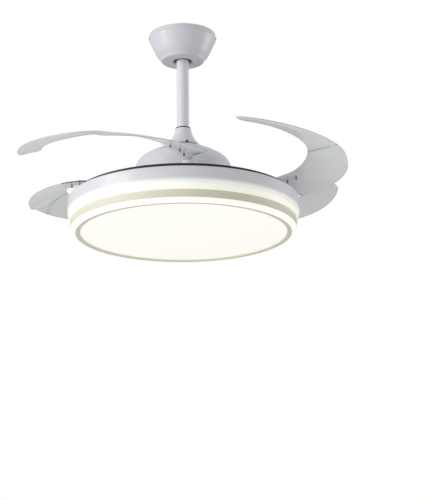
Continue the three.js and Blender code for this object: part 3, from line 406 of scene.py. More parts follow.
class SurfaceGroups:
    """The shader node groups that the finishes share, each built once."""

    dust_colour: Colour = (0.62, 0.60, 0.56)
    relief_depth: float = 0.0002

    def __init__(self) -> None:
        """Starts with no group built."""
        self._built: dict[Grain, bpy.types.NodeTree] = {}

    def of(self, grain: Grain) -> bpy.types.NodeTree:
        """Group for a grain, built when it is first asked for.

        Args:
            grain: the kind of surface.

        Returns:
            The node group.
        """
        if grain not in self._built:
            self._built[grain] = self._build(grain)
        return self._built[grain]

    def _build(self, grain: Grain) -> bpy.types.NodeTree:
        """Group that mottles a colour, varies its roughness and raises a fine relief.

        The relief is noise for coats and castings, rings of equal step for turned metal, level lines for
        stacked sheets and slanted lines for wound wire.

        Args:
            grain: the kind of surface.

        Returns:
            The node group.
        """
        numbers = ("Scale", "Mottle", "Roughness", "Uneven", "Relief", "Dust")
        inputs = {"Vector": "Vector", "Colour": "Color"} | dict.fromkeys(numbers, "Float")
        outputs = {"Colour": "Color", "Roughness": "Float", "Normal": "Vector"}
        group = _group(f"surface_{grain.name.lower()}", inputs, outputs)
        given = group.nodes["Group Input"].outputs
        result = group.nodes["Group Output"].inputs
        link = group.links.new
        broad = _node(group, "ShaderNodeTexNoise", {"Scale": 9.0, "Detail": 3.0, "Roughness": 0.55})
        link(given["Vector"], broad.inputs["Vector"])
        centred = _node(group, "ShaderNodeMath", {1: 0.5}, operation="SUBTRACT")
        link(broad.outputs["Fac"], centred.inputs[0])
        shade = _node(group, "ShaderNodeMath", {2: 1.0}, operation="MULTIPLY_ADD")
        link(centred.outputs[0], shade.inputs[0])
        link(given["Mottle"], shade.inputs[1])
        tinted = _node(group, "ShaderNodeVectorMath", operation="SCALE")
        link(given["Colour"], tinted.inputs[0])
        link(shade.outputs[0], tinted.inputs["Scale"])
        dusted = self._dust(group, given, broad)
        mixed = _node(group, "ShaderNodeMix", data_type="RGBA")
        mixed.inputs["B"].default_value = (*self.dust_colour, 1)
        link(dusted, mixed.inputs["Factor"])
        link(tinted.outputs[0], mixed.inputs["A"])
        link(mixed.outputs["Result"], result["Colour"])
        fine = self._relief(group, grain, given)
        rough = _node(group, "ShaderNodeMath", operation="MULTIPLY_ADD")
        link(centred.outputs[0], rough.inputs[0])
        link(given["Uneven"], rough.inputs[1])
        link(given["Roughness"], rough.inputs[2])
        dulled = _node(group, "ShaderNodeMath", {1: 0.5}, operation="MULTIPLY_ADD")
        link(dusted, dulled.inputs[0])
        link(rough.outputs[0], dulled.inputs[2])
        link(dulled.outputs[0], result["Roughness"])
        bump = _node(group, "ShaderNodeBump", {"Distance": self.relief_depth})
        link(given["Relief"], bump.inputs["Strength"])
        link(fine, bump.inputs["Height"])
        link(bump.outputs["Normal"], result["Normal"])
        return group

    @staticmethod
    def _dust(
        group: bpy.types.NodeTree, given: bpy.types.NodeOutputs, broad: bpy.types.Node
    ) -> bpy.types.NodeSocket:
        """Share of dust: only on faces that look up, patchy, and as strong as the Dust input says.

        Args:
            group: the group that is being built.
            given: its inputs.
            broad: its broad noise.

        Returns:
            The output that carries the share.
        """
        link = group.links.new
        facing = _node(group, "ShaderNodeNewGeometry")
        parts = _node(group, "ShaderNodeSeparateXYZ")
        link(facing.outputs["Normal"], parts.inputs[0])
        upward = _node(group, "ShaderNodeMapRange", {"From Min": 0.55, "From Max": 0.98})
        link(parts.outputs["Z"], upward.inputs[0])
        patchy = _node(group, "ShaderNodeMath", operation="MULTIPLY")
        link(upward.outputs[0], patchy.inputs[0])
        link(broad.outputs["Fac"], patchy.inputs[1])
        share = _node(group, "ShaderNodeMath", operation="MULTIPLY")
        link(patchy.outputs[0], share.inputs[0])
        link(given["Dust"], share.inputs[1])
        return share.outputs[0]

    @staticmethod
    def _relief(
        group: bpy.types.NodeTree, grain: Grain, given: bpy.types.NodeOutputs
    ) -> bpy.types.NodeSocket:
        """Height of the fine relief, by grain.

        Args:
            group: the group that is being built.
            grain: the kind of surface.
            given: its inputs.

        Returns:
            The output that carries the height.
        """
        link = group.links.new
        if grain in (Grain.COAT, Grain.CAST):
            detail = 2.0 if grain is Grain.COAT else 6.0
            noise = _node(group, "ShaderNodeTexNoise", {"Detail": detail, "Roughness": 0.6})
            link(given["Vector"], noise.inputs["Vector"])
            link(given["Scale"], noise.inputs["Scale"])
            return noise.outputs["Fac"]
        wave = _node(group, "ShaderNodeTexWave", {"Distortion": 1.2, "Detail": 2.0})
        shape = {
            Grain.TURNED: {"wave_type": "RINGS", "rings_direction": "Z"},
            Grain.STACK: {"wave_type": "BANDS", "bands_direction": "Z"},
            Grain.WOUND: {"wave_type": "BANDS", "bands_direction": "DIAGONAL"},
        }[grain]
        for key, value in shape.items():
            setattr(wave, key, value)
        link(given["Vector"], wave.inputs["Vector"])
        link(given["Scale"], wave.inputs["Scale"])
        return wave.outputs["Fac"]


SURFACES = SurfaceGroups()


@dataclass(frozen=True)
class Finish:
    """One finish: a colour and how its surface takes the light."""

    slot: str
    colour: Colour
    roughness: float
    grain: Grain = Grain.COAT
    scale: float = 420.0
    metallic: float = 0.0
    relief: float = 0.08
    mottle: float = 0.03
    uneven: float = 0.08
    dust: float = 0.0
    coat: float = 0.0
    alpha: float = 1.0
    glow: float = 0.0
    glow_colour: Colour = (1.0, 1.0, 1.0)
    coat_roughness: float = 0.08

    def material(self, name: str) -> bpy.types.Material:
        """Material of this finish, made once for each name.

        Args:
            name: the material's name.

        Returns:
            The material.
        """
        if name in bpy.data.materials:
            return bpy.data.materials[name]
        material = bpy.data.materials.new(name)
        material.use_nodes = True
        tree = material.node_tree
        shader = tree.nodes["Principled BSDF"]
        fixed = {
            "Metallic": self.metallic,
            "Coat Weight": self.coat,
            "Coat Roughness": self.coat_roughness,
            "Alpha": self.alpha,
            "Emission Color": (*self.glow_colour, 1),
            "Emission Strength": self.glow,
        }
        for label, value in fixed.items():
            shader.inputs[label].default_value = value
        place = _node(tree, "ShaderNodeTexCoord")
        values = {
            "Colour": (*self.colour, 1),
            "Scale": self.scale,
            "Mottle": self.mottle,
            "Roughness": self.roughness,
            "Uneven": self.uneven,
            "Relief": self.relief,
            "Dust": self.dust,
        }
        surface = tree.nodes.new("ShaderNodeGroup")
        surface.node_tree = SURFACES.of(self.grain)
        for label, value in values.items():
            surface.inputs[label].default_value = value
        tree.links.new(place.outputs["Object"], surface.inputs["Vector"])
        tree.links.new(surface.outputs["Colour"], shader.inputs["Base Color"])
        tree.links.new(surface.outputs["Roughness"], shader.inputs["Roughness"])
        tree.links.new(surface.outputs["Normal"], shader.inputs["Normal"])
        self._add_effect(tree, shader, place)
        return material

    def _add_effect(self, tree: bpy.types.NodeTree, shader: bpy.types.Node, place: bpy.types.Node) -> None:
        """Adds the finish's own effect to a new material; a plain finish has none."""


@dataclass(frozen=True)
class ClearPlastic(Finish):
    """Clear plastic: darker and denser where its mark is a half, nearly black where its mark is one.

    It glows faintly in its own colour: painted light that brightens the sheet evenly, though it is no lamp.
    """

    # Painted shade: the edge colour is the acrylic's own greenish tint, darkened with painted shade as seen edge-on,
    # and the mark colour paints near-black shade lines.
    edge_colour: Colour = (0.26, 0.31, 0.305)
    mark_colour: Colour = (0.07, 0.08, 0.09)

    def _add_effect(self, tree: bpy.types.NodeTree, shader: bpy.types.Node, place: bpy.types.Node) -> None:
        """Tints colour, glow and alpha by the piece's mark.

        Args:
            tree: the material's nodes.
            shader: its shader.
            place: its texture coordinates, which this effect doesn't need.
        """
        link = tree.links.new
        mark = _node(tree, "ShaderNodeAttribute", attribute_name="mark")
        tint = _node(tree, "ShaderNodeGroup", node_tree=edge_tint_group())
        link(shader.inputs["Base Color"].links[0].from_socket, tint.inputs["Colour"])
        link(mark.outputs["Fac"], tint.inputs["Mark"])
        tint.inputs["Edge Colour"].default_value = (*self.edge_colour, 1)
        tint.inputs["Mark Colour"].default_value = (*self.mark_colour, 1)
        tint.inputs["Density"].default_value = self.alpha
        link(tint.outputs["Colour"], shader.inputs["Base Color"])
        link(tint.outputs["Colour"], shader.inputs["Emission Color"])
        link(tint.outputs["Alpha"], shader.inputs["Alpha"])


# Paints shade on clear plastic: marked edges go towards the edge colour and shade lines towards the dark colour.
def edge_tint_group() -> bpy.types.NodeTree:
    """Group that tints a colour towards an edge colour and a dark colour, and thickens its alpha.

    The first tint is twice the mark and the second twice the mark less one, both kept from 0 to 1. Alpha is
    density + (1 - density) times the first.

    Returns:
        The group, built when it is first asked for.
    """
    if "edge_tint" in bpy.data.node_groups:
        return bpy.data.node_groups["edge_tint"]
    inputs = dict.fromkeys(("Colour", "Edge Colour", "Mark Colour"), "Color")
    inputs |= dict.fromkeys(("Mark", "Density"), "Float")
    group = _group("edge_tint", inputs, {"Colour": "Color", "Alpha": "Float"})
    given = group.nodes["Group Input"].outputs
    result = group.nodes["Group Output"].inputs
    link = group.links.new
    edge = _node(group, "ShaderNodeMath", {1: 2.0}, operation="MULTIPLY", use_clamp=True)
    link(given["Mark"], edge.inputs[0])
    dark = _node(group, "ShaderNodeMath", {1: 2.0, 2: -1.0}, operation="MULTIPLY_ADD", use_clamp=True)
    link(given["Mark"], dark.inputs[0])
    rimmed = _node(group, "ShaderNodeMix", data_type="RGBA")
    link(edge.outputs[0], rimmed.inputs["Factor"])
    link(given["Colour"], rimmed.inputs["A"])
    link(given["Edge Colour"], rimmed.inputs["B"])
    marked = _node(group, "ShaderNodeMix", data_type="RGBA")
    link(dark.outputs[0], marked.inputs["Factor"])
    link(rimmed.outputs["Result"], marked.inputs["A"])
    link(given["Mark Colour"], marked.inputs["B"])
    link(marked.outputs["Result"], result["Colour"])
    alpha = _node(group, "ShaderNodeMix", {3: 1.0}, data_type="FLOAT")
    link(edge.outputs[0], alpha.inputs[0])
    link(given["Density"], alpha.inputs[2])
    link(alpha.outputs[0], result["Alpha"])
    return group


@dataclass(frozen=True)
class LitFinish(Finish):
    """Finish whose glow fades with height, from a level where it is full to one where it has gone."""

    full_z: float = 0.0  # above the lamp's rim
    gone_z: float = 0.0
    least: float = 0.0  # share of the glow that is left

    def _add_effect(self, tree: bpy.types.NodeTree, shader: bpy.types.Node, place: bpy.types.Node) -> None:
        """Scales the emission colour by a smooth ramp in height.

        Args:
            tree: the material's nodes.
            shader: its shader.
            place: its texture coordinates.
        """
        fade = _node(tree, "ShaderNodeGroup", node_tree=fade_group())
        tree.links.new(place.outputs["Object"], fade.inputs["Vector"])
        fade.inputs["Colour"].default_value = (*self.glow_colour, 1)
        fade.inputs["Full"].default_value = RIM + self.full_z
        fade.inputs["Gone"].default_value = RIM + self.gone_z
        fade.inputs["Least"].default_value = self.least
        tree.links.new(fade.outputs["Colour"], shader.inputs["Emission Color"])


def fade_group() -> bpy.types.NodeTree:
    """Group that scales a colour by a smooth step in Z, from one at Full to Least at Gone.

    Returns:
        The group, built when it is first asked for.
    """
    if "height_fade" in bpy.data.node_groups:
        return bpy.data.node_groups["height_fade"]
    inputs = {"Vector": "Vector", "Colour": "Color"} | dict.fromkeys(("Full", "Gone", "Least"), "Float")
    group = _group("height_fade", inputs, {"Colour": "Color"})
    given = group.nodes["Group Input"].outputs
    link = group.links.new
    parts = _node(group, "ShaderNodeSeparateXYZ")
    link(given["Vector"], parts.inputs[0])
    ramp = _node(group, "ShaderNodeMapRange", {"To Min": 1.0}, interpolation_type="SMOOTHSTEP")
    link(parts.outputs["Z"], ramp.inputs["Value"])
    link(given["Full"], ramp.inputs["From Min"])
    link(given["Gone"], ramp.inputs["From Max"])
    link(given["Least"], ramp.inputs["To Max"])
    scaled = _node(group, "ShaderNodeVectorMath", operation="SCALE")
    link(given["Colour"], scaled.inputs[0])
    link(ramp.outputs[0], scaled.inputs["Scale"])
    link(scaled.outputs[0], group.nodes["Group Output"].inputs["Colour"])
    return group


WHITE_COAT = Finish("white_paint", (0.72, 0.72, 0.75), 0.42, dust=0.25, coat=0.15)
# The canopy takes the white paint made darker as painted shade.
CANOPY_COAT = replace(WHITE_COAT, colour=(0.60, 0.60, 0.63))
# The drum takes the white paint made darker as painted shade; its glow, full at the lower edge and gone 11 mm up, is
# painted light spilling from the light ring below.
DRUM_COAT = LitFinish(
    "white_paint",
    (0.62, 0.62, 0.64),
    0.38,
    dust=0.25,
    coat=0.2,
    glow=0.3,
    glow_colour=(1.0, 0.99, 0.92),
    full_z=-0.033,
    gone_z=-0.022,
)
WHITE_PLASTIC = Finish("white_plastic", (0.70, 0.70, 0.71), 0.5, scale=900.0, relief=0.15)
BLACK_COAT = Finish("black_paint", (0.008, 0.009, 0.011), 0.45, dust=0.12)
RUBBER = Finish("rubber", (0.02, 0.02, 0.021), 0.75, scale=1500.0, relief=0.3)
STEEL = Finish("steel", (0.56, 0.57, 0.59), 0.3, Grain.TURNED, 260.0, 1.0, relief=0.12)
ZINC = Finish("zinc", (0.60, 0.62, 0.64), 0.36, Grain.CAST, 160.0, 0.9, relief=0.1, mottle=0.18)
CAST_ALUMINIUM = Finish(
    "cast_aluminium", (0.52, 0.53, 0.55), 0.52, Grain.CAST, 500.0, 0.8, relief=0.4, dust=0.3
)
NYLON = Finish("nylon", (0.80, 0.78, 0.71), 0.5, scale=700.0, relief=0.1)
BLACK_NYLON = Finish("nylon", (0.015, 0.015, 0.016), 0.5, scale=700.0, relief=0.1)
LAMINATIONS = Finish("laminations", (0.2, 0.21, 0.22), 0.5, Grain.STACK, 500.0, 0.8, relief=0.6)
COPPER = Finish("copper", (0.55, 0.2, 0.08), 0.35, Grain.WOUND, 450.0, 0.9, relief=0.8)
FERRITE = Finish("ferrite", (0.05, 0.05, 0.055), 0.6, Grain.CAST, 600.0, 0.1, relief=0.3)
BOARD = Finish("board", (0.83, 0.83, 0.8), 0.45, scale=900.0, relief=0.05)
# The band and bezel are white paint; this tan colour is painted warm light and shade.
CHAMPAGNE = Finish("khaki_paint", (0.64, 0.615, 0.50), 0.55, relief=0.05)
# Both clear plastics glow with painted light that brightens blades, clamps and holder plates evenly.
CLEAR_GREY = ClearPlastic(
    "smoke_acrylic", (0.40, 0.405, 0.41), 0.2, relief=0.0, mottle=0.02, coat=0.2, alpha=0.8, glow=0.47
)
CLEAR_WHITE = ClearPlastic(
    "white_plastic", (0.5, 0.51, 0.52), 0.3, relief=0.0, coat=0.1, alpha=0.3, glow=0.4
)
DARK_SCREW = Finish("steel", (0.05, 0.05, 0.055), 0.35, Grain.TURNED, 260.0, 0.8, relief=0.1)
DIFFUSER_OPAL = Finish(
    "opal_acrylic", (0.8, 0.78, 0.72), 0.45, relief=0.03, glow=0.345, glow_colour=(1.0, 0.975, 0.90)
)
UPPER_OPAL = LitFinish(
    "opal_acrylic",
    (0.71, 0.70, 0.63),
    0.4,
    relief=0.03,
    glow=0.34,
    glow_colour=(1.0, 0.985, 0.85),
    full_z=-0.039,
    gone_z=-0.031,
    least=0.55,
)
LOWER_OPAL = Finish(
    "opal_acrylic", (0.8, 0.79, 0.73), 0.4, relief=0.03, glow=0.37, glow_colour=(1.0, 0.985, 0.86)
)


# ---------------------------------------------------------------- what every sub-assembly does


class SubAssembly:
    """Base of the fan's sub-assemblies: it places new pieces and finishes the frame's own."""

    body = "hanging"

    def _add(
        self, piece: bpy.types.Object, finish: Finish, *replaced: str, body: str = ""
    ) -> bpy.types.Object:
        """Finishes a new piece, lets it ride on a body and hides the frame's nodes that it stands for.

        Args:
            piece: the new mesh, already in place.
            finish: its finish.
            replaced: the nodes it replaces.
            body: the body it rides on, or the sub-assembly's own.

        Returns:
            The piece.
        """
        piece.data.materials.append(finish.material(_material_name(finish)))
        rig.ride(piece, body or self.body)
        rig.slot(piece, finish.slot)
        if replaced:
            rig.replaces(piece, *replaced)
        log.info("piece %s on %s", piece.name, body or self.body)
        return piece

    @staticmethod
    def _dress(finish: Finish, *nodes: str) -> None:
        """Gives nodes of the frame a finish.

        Args:
            finish: the finish.
            nodes: the nodes' names.
        """
        material = finish.material(_material_name(finish))
        for name in nodes:
            node = frame["nodes"][name]
            if not node.material_slots:
                node.data.materials.append(material)
            for place in node.material_slots:
                place.material = material
            log.info("node %s in %s", name, material.name)


def _material_name(finish: Finish) -> str:
    """Name of a finish's material: the name that the finish has in this script, in lower case."""
    return next(key.lower() for key, value in globals().items() if value is finish)


def pan_head(radius: float, height: float, cross: float) -> np.ndarray:
    """Grid of a pan-head screw that stands on z = 0, with a shallow round drive in its top.

    Args:
        radius: the head's radius.
        height: the head's height.
        cross: radius of the drive.

    Returns:
        Grid of rows by columns.
    """
    outline = [
        (0, -height * 0.2),
        (radius * 0.97, -height * 0.2),
        (radius, height * 0.3),
        (radius * 0.82, height * 0.8),
        (radius * 0.5, height),
        (cross, height * 1.02),
        (cross * 0.7, height * 0.45),
        (0, height * 0.4),
    ]
    return turned(spline(outline, 30), SCREW_ROUND)


# ---------------------------------------------------------------- ceiling fixing


@dataclass
class CeilingFixing(SubAssembly):
    """Bracket on the ceiling and the canopy that covers it."""

    body = "mount"
    radius: float = 0.0736
    height: float = 0.0626
    rim_height: float = 0.0125
    floor_radius: float = 0.047
    hole_radius: float = 0.021
    lip: float = 0.0007  # how far the rim's lower edge is rolled out
    wall: float = 0.0012
    screw_drop: float = 0.007
    screw_head_radius: float = 0.004
    screw_head_height: float = 0.0012
    screw_drive: float = 0.0016  # radius of the heads' drive
    shank_radius: float = 0.0019
    shank_length: float = 0.012

    def _side(self) -> np.ndarray:
        """Outer side of the cup from the rim to the floor, the floor's edge rounded."""
        low, span = -self.rim_height, self.height - self.rim_height
        taper = self.radius - self.floor_radius
        flare = spline(
            [
                (self.radius, low),
                (self.radius - taper * 0.22, low - span * 0.25),
                (self.radius - taper * 0.62, low - span * 0.69),
                (self.floor_radius + 0.001, 0.004 - self.height),
            ],
            24,
        )
        s = np.linspace(0.1, 1, 8)[:, None]
        corner = np.array([[self.floor_radius - 0.0003, -self.height]])
        end = np.array([[self.floor_radius - 0.0035, -self.height]])
        edge = (1 - s) ** 2 * flare[-1:] + 2 * s * (1 - s) * corner + s**2 * end
        return np.concatenate([flare, edge])

    def build_canopy(self) -> bpy.types.Object:
        """Spun cup: the side's profile and the same profile moved in by the wall."""
        side = self._side()
        low = -self.height
        floor = spline([(self.floor_radius - 0.005, low), (self.hole_radius + 0.001, low)], 6)
        hole = np.array([(self.hole_radius, low + 0.0006), (self.hole_radius, low + self.wall)])
        inner = (side - [self.wall, -self.wall * 0.4])[::-1]
        ledge = self.radius - self.lip
        top = np.array([(ledge - self.wall, -SEAT_GAP), (ledge - 0.0003, -SEAT_GAP)])
        rim = spline(
            [
                (ledge, -0.0008),
                (ledge, -self.rim_height + 0.0034),
                (self.radius, -self.rim_height + 0.0016),
            ],
            14,
        )
        profile = np.concatenate([rim, side, floor, hole, inner, top])
        return self._add(skin("canopy_shell", [turned(profile)]), CANOPY_COAT, "canopy")

    def build_screws(self) -> None:
        """Pan-head screws at the canopy's two sides."""
        for side, name in ((-1, "left"), (1, "right")):
            head = pan_head(self.screw_head_radius, self.screw_head_height, self.screw_drive)
            shank = turned(eased(boxed(0, self.shank_radius, -self.shank_length, 0), 0.0003), SCREW_ROUND)
            at = (side * (self.radius + SEAT_GAP), 0, -self.screw_drop)
            grids = [laid_along(head, (side, 0, 0), at), laid_along(shank, (side, 0, 0), at)]
            screw = skin(f"canopy_screw_{name}_head", grids)
            self._add(screw, STEEL, f"canopy_screw_{name}")

    def build(self) -> None:
        """Builds the canopy and its screws, and finishes the bracket and the receiver."""
        self.build_canopy()
        self.build_screws()
        self._dress(ZINC, "ceiling_bracket")
        self._dress(WHITE_PLASTIC, "receiver")


# ---------------------------------------------------------------- downrod and yoke cover


@dataclass
class Downrod(SubAssembly):
    """Ball, rod, yoke and the bell that hides the yoke."""

    ball_radius: float = 0.026
    ball_z: float = -0.0386  # below the ceiling
    ball_flat: float = 0.018
    rod_radius: float = 0.01335
    rod_wall: float = 0.002
    bell_top_radius: float = 0.0172
    bell_bottom_radius: float = 0.0375
    bell_bottom_z: float = 0.1241
    bell_height: float = 0.040
    bell_wall: float = 0.0016
    seal_height: float = 0.0024
    seal_taper: float = 0.0004
    screw_radius: float = 0.0027
    screw_azimuth: float = -77.0
    screw_rise: float = 0.0014  # above the bell's lower edge
    screw_reach: tuple[float, float] = (0.0333, 0.0385)  # radii of its inner and outer end
    screw_drive: tuple[float, float] = (0.0011, 0.002)  # radius and depth

    def build_ball(self) -> bpy.types.Object:
        """Ball cut flat on top and bored: an arc from the bore's low edge up to the flat."""
        bore = self.rod_radius + SEAT_GAP
        low = -math.acos(bore / self.ball_radius)
        high = math.asin(self.ball_flat / self.ball_radius)
        a = np.linspace(low, high, 40)
        arc = np.stack([self.ball_radius * np.cos(a), self.ball_radius * np.sin(a)], axis=1)
        bored = np.array([(bore, self.ball_flat), (bore, arc[0, 1])])
        profile = np.concatenate([arc, bored]) + [0, self.ball_z]
        ball = creased(skin("hanger_ball_smooth", [turned(profile, SMALL_ROUND)]))
        return self._add(ball, BLACK_NYLON, "hanger_ball")

    def build_rod(self) -> bpy.types.Object:
        """Drawn tube with eased ends."""
        low, high = (corner.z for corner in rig.box("downrod"))
        inner = self.rod_radius - self.rod_wall
        profile = eased(boxed(inner, self.rod_radius, low, high), 0.0004)
        return self._add(skin("downrod_tube", [turned(profile, SMALL_ROUND)]), WHITE_COAT, "downrod")

    def _bell_side(self) -> np.ndarray:
        """Flare of the bell, from its top down to its lower edge."""
        top, run = self.bell_bottom_z + self.bell_height, self.bell_bottom_radius - self.bell_top_radius
        shares = [(0.0, 0.0), (0.1, 0.21), (0.3, 0.49), (0.6, 0.73), (1.0, 0.95)]
        return spline([(self.bell_top_radius + run * r, top - self.bell_height * z) for r, z in shares], 40)

    def build_bell(self) -> bpy.types.Object:
        """Bell: the flare, its lower lip and the same line inside by the wall, closed on the rod."""
        side = self._bell_side()
        top = self.bell_bottom_z + self.bell_height
        mouth = self.rod_radius + SEAT_GAP
        lip = np.array(
            [
                (self.bell_bottom_radius, self.bell_bottom_z + 0.0006),
                (self.bell_bottom_radius - 0.0003, self.bell_bottom_z),
                (self.bell_bottom_radius - self.bell_wall, self.bell_bottom_z),
            ]
        )
        inside = (side - [self.bell_wall, self.bell_wall * 0.5])[::-1]
        inside = inside[(inside[:, 0] > mouth + 0.0005) & (inside[:, 1] < top - 0.003)]
        crown = np.array([(mouth, top - 0.0024), (mouth, top), (self.bell_top_radius - 0.0006, top)])
        profile = np.concatenate([side, lip, inside, crown]) + [0, RIM]
        return self._add(creased(skin("yoke_cover_bell", [turned(profile)]), 50), WHITE_COAT, "yoke_cover")

    def build_screw(self) -> bpy.types.Object:
        """Black set screw in the bell's side, with a sunk hexagon drive drawn as a round recess."""
        a = math.radians(self.screw_azimuth)
        (low, high), (drive, depth) = self.screw_reach, self.screw_drive
        outline = [(0, low), (self.screw_radius, low), (self.screw_radius, high)]
        outline += [(drive, high), (drive, high - depth), (0, high - depth)]
        z = RIM + self.bell_bottom_z + self.screw_rise
        screw = turned(eased(outline, 0.0002), SCREW_ROUND)
        grid = laid_along(screw, (math.cos(a), math.sin(a), 0), (0, 0, z))
        return self._add(skin("yoke_cover_set_screw", [grid]), BLACK_COAT, "yoke_cover_screw")

    def build_seal(self) -> bpy.types.Object:
        """Rubber ring on top of the bell, its outer edge rounded."""
        low = self.bell_bottom_z + self.bell_height + SEAT_GAP
        high = low + self.seal_height
        inner, outer = self.rod_radius + SEAT_GAP, self.bell_top_radius
        outline = [(inner, low), (outer, low), (outer - self.seal_taper, high), (inner, high)]
        profile = eased(outline, 0.0009) + [0, RIM]
        return self._add(skin("yoke_seal_ring", [turned(profile, SMALL_ROUND)]), RUBBER, "yoke_seal")

    def build(self) -> None:
        """Builds the ball, rod, bell, screw and seal, and finishes the yoke and the pins."""
        self.build_ball()
        self.build_rod()
        self.build_bell()
        self.build_screw()
        self.build_seal()
        self._dress(CAST_ALUMINIUM, "yoke")
        self._dress(STEEL, "ball_pin", "yoke_pin")


# ---------------------------------------------------------------- motor


@dataclass
class Motor(SubAssembly):
    """Outer-rotor motor under its dome cover."""

    body = "rotor"
    radius: float = 0.104
    wall: float = 0.002
    top_radius: float = 0.037
    top_z: float = 0.1225
    shoulder_radius: float = 0.096
    shoulder_z: float = 0.091
    skirt_z: float = 0.0775
    bottom_z: float = 0.0153

    def build_dome(self) -> bpy.types.Object:
        """Dome: shallow cone, rounded shoulder and straight skirt, with the wall's thickness inside."""
        run, rise = self.shoulder_radius - self.top_radius, self.top_z - self.shoulder_z
        cone = spline(
            [
                (self.top_radius, self.top_z),
                (self.top_radius + run * 0.24, self.shoulder_z + rise * 0.8),
                (self.top_radius + run * 0.62, self.shoulder_z + rise * 0.46),
                (self.shoulder_radius, self.shoulder_z),
                (self.radius, self.skirt_z),
            ],
            64,
        )
        low = np.array([(self.radius, self.skirt_z - 0.004), (self.radius, self.bottom_z + 0.003)])
        hem = np.array(
            [
                (self.radius, self.bottom_z + 0.0006),
                (self.radius - 0.0006, self.bottom_z),
                (self.radius - self.wall, self.bottom_z),
                (self.radius - self.wall, self.skirt_z - 0.006),
            ]
        )
        inside = (cone - [self.wall, self.wall])[::-1]
        profile = np.concatenate([cone, low, hem, inside[2:]]) + [0, RIM]
        return self._add(creased(skin("dome_cover_shell", [turned(profile)]), 60), WHITE_COAT, "dome_cover")

    def build(self) -> None:
        """Builds the dome and finishes what it hides."""
        self.build_dome()
        self._dress(CAST_ALUMINIUM, "rotor_shell", "stator_hub")
        self._dress(FERRITE, "magnet_ring")
        self._dress(STEEL, "upper_bearing", "lower_bearing", "motor_shaft")
        self._dress(LAMINATIONS, "stator_core")
        self._dress(COPPER, "stator_winding")


# ---------------------------------------------------------------- blade carrier and gears


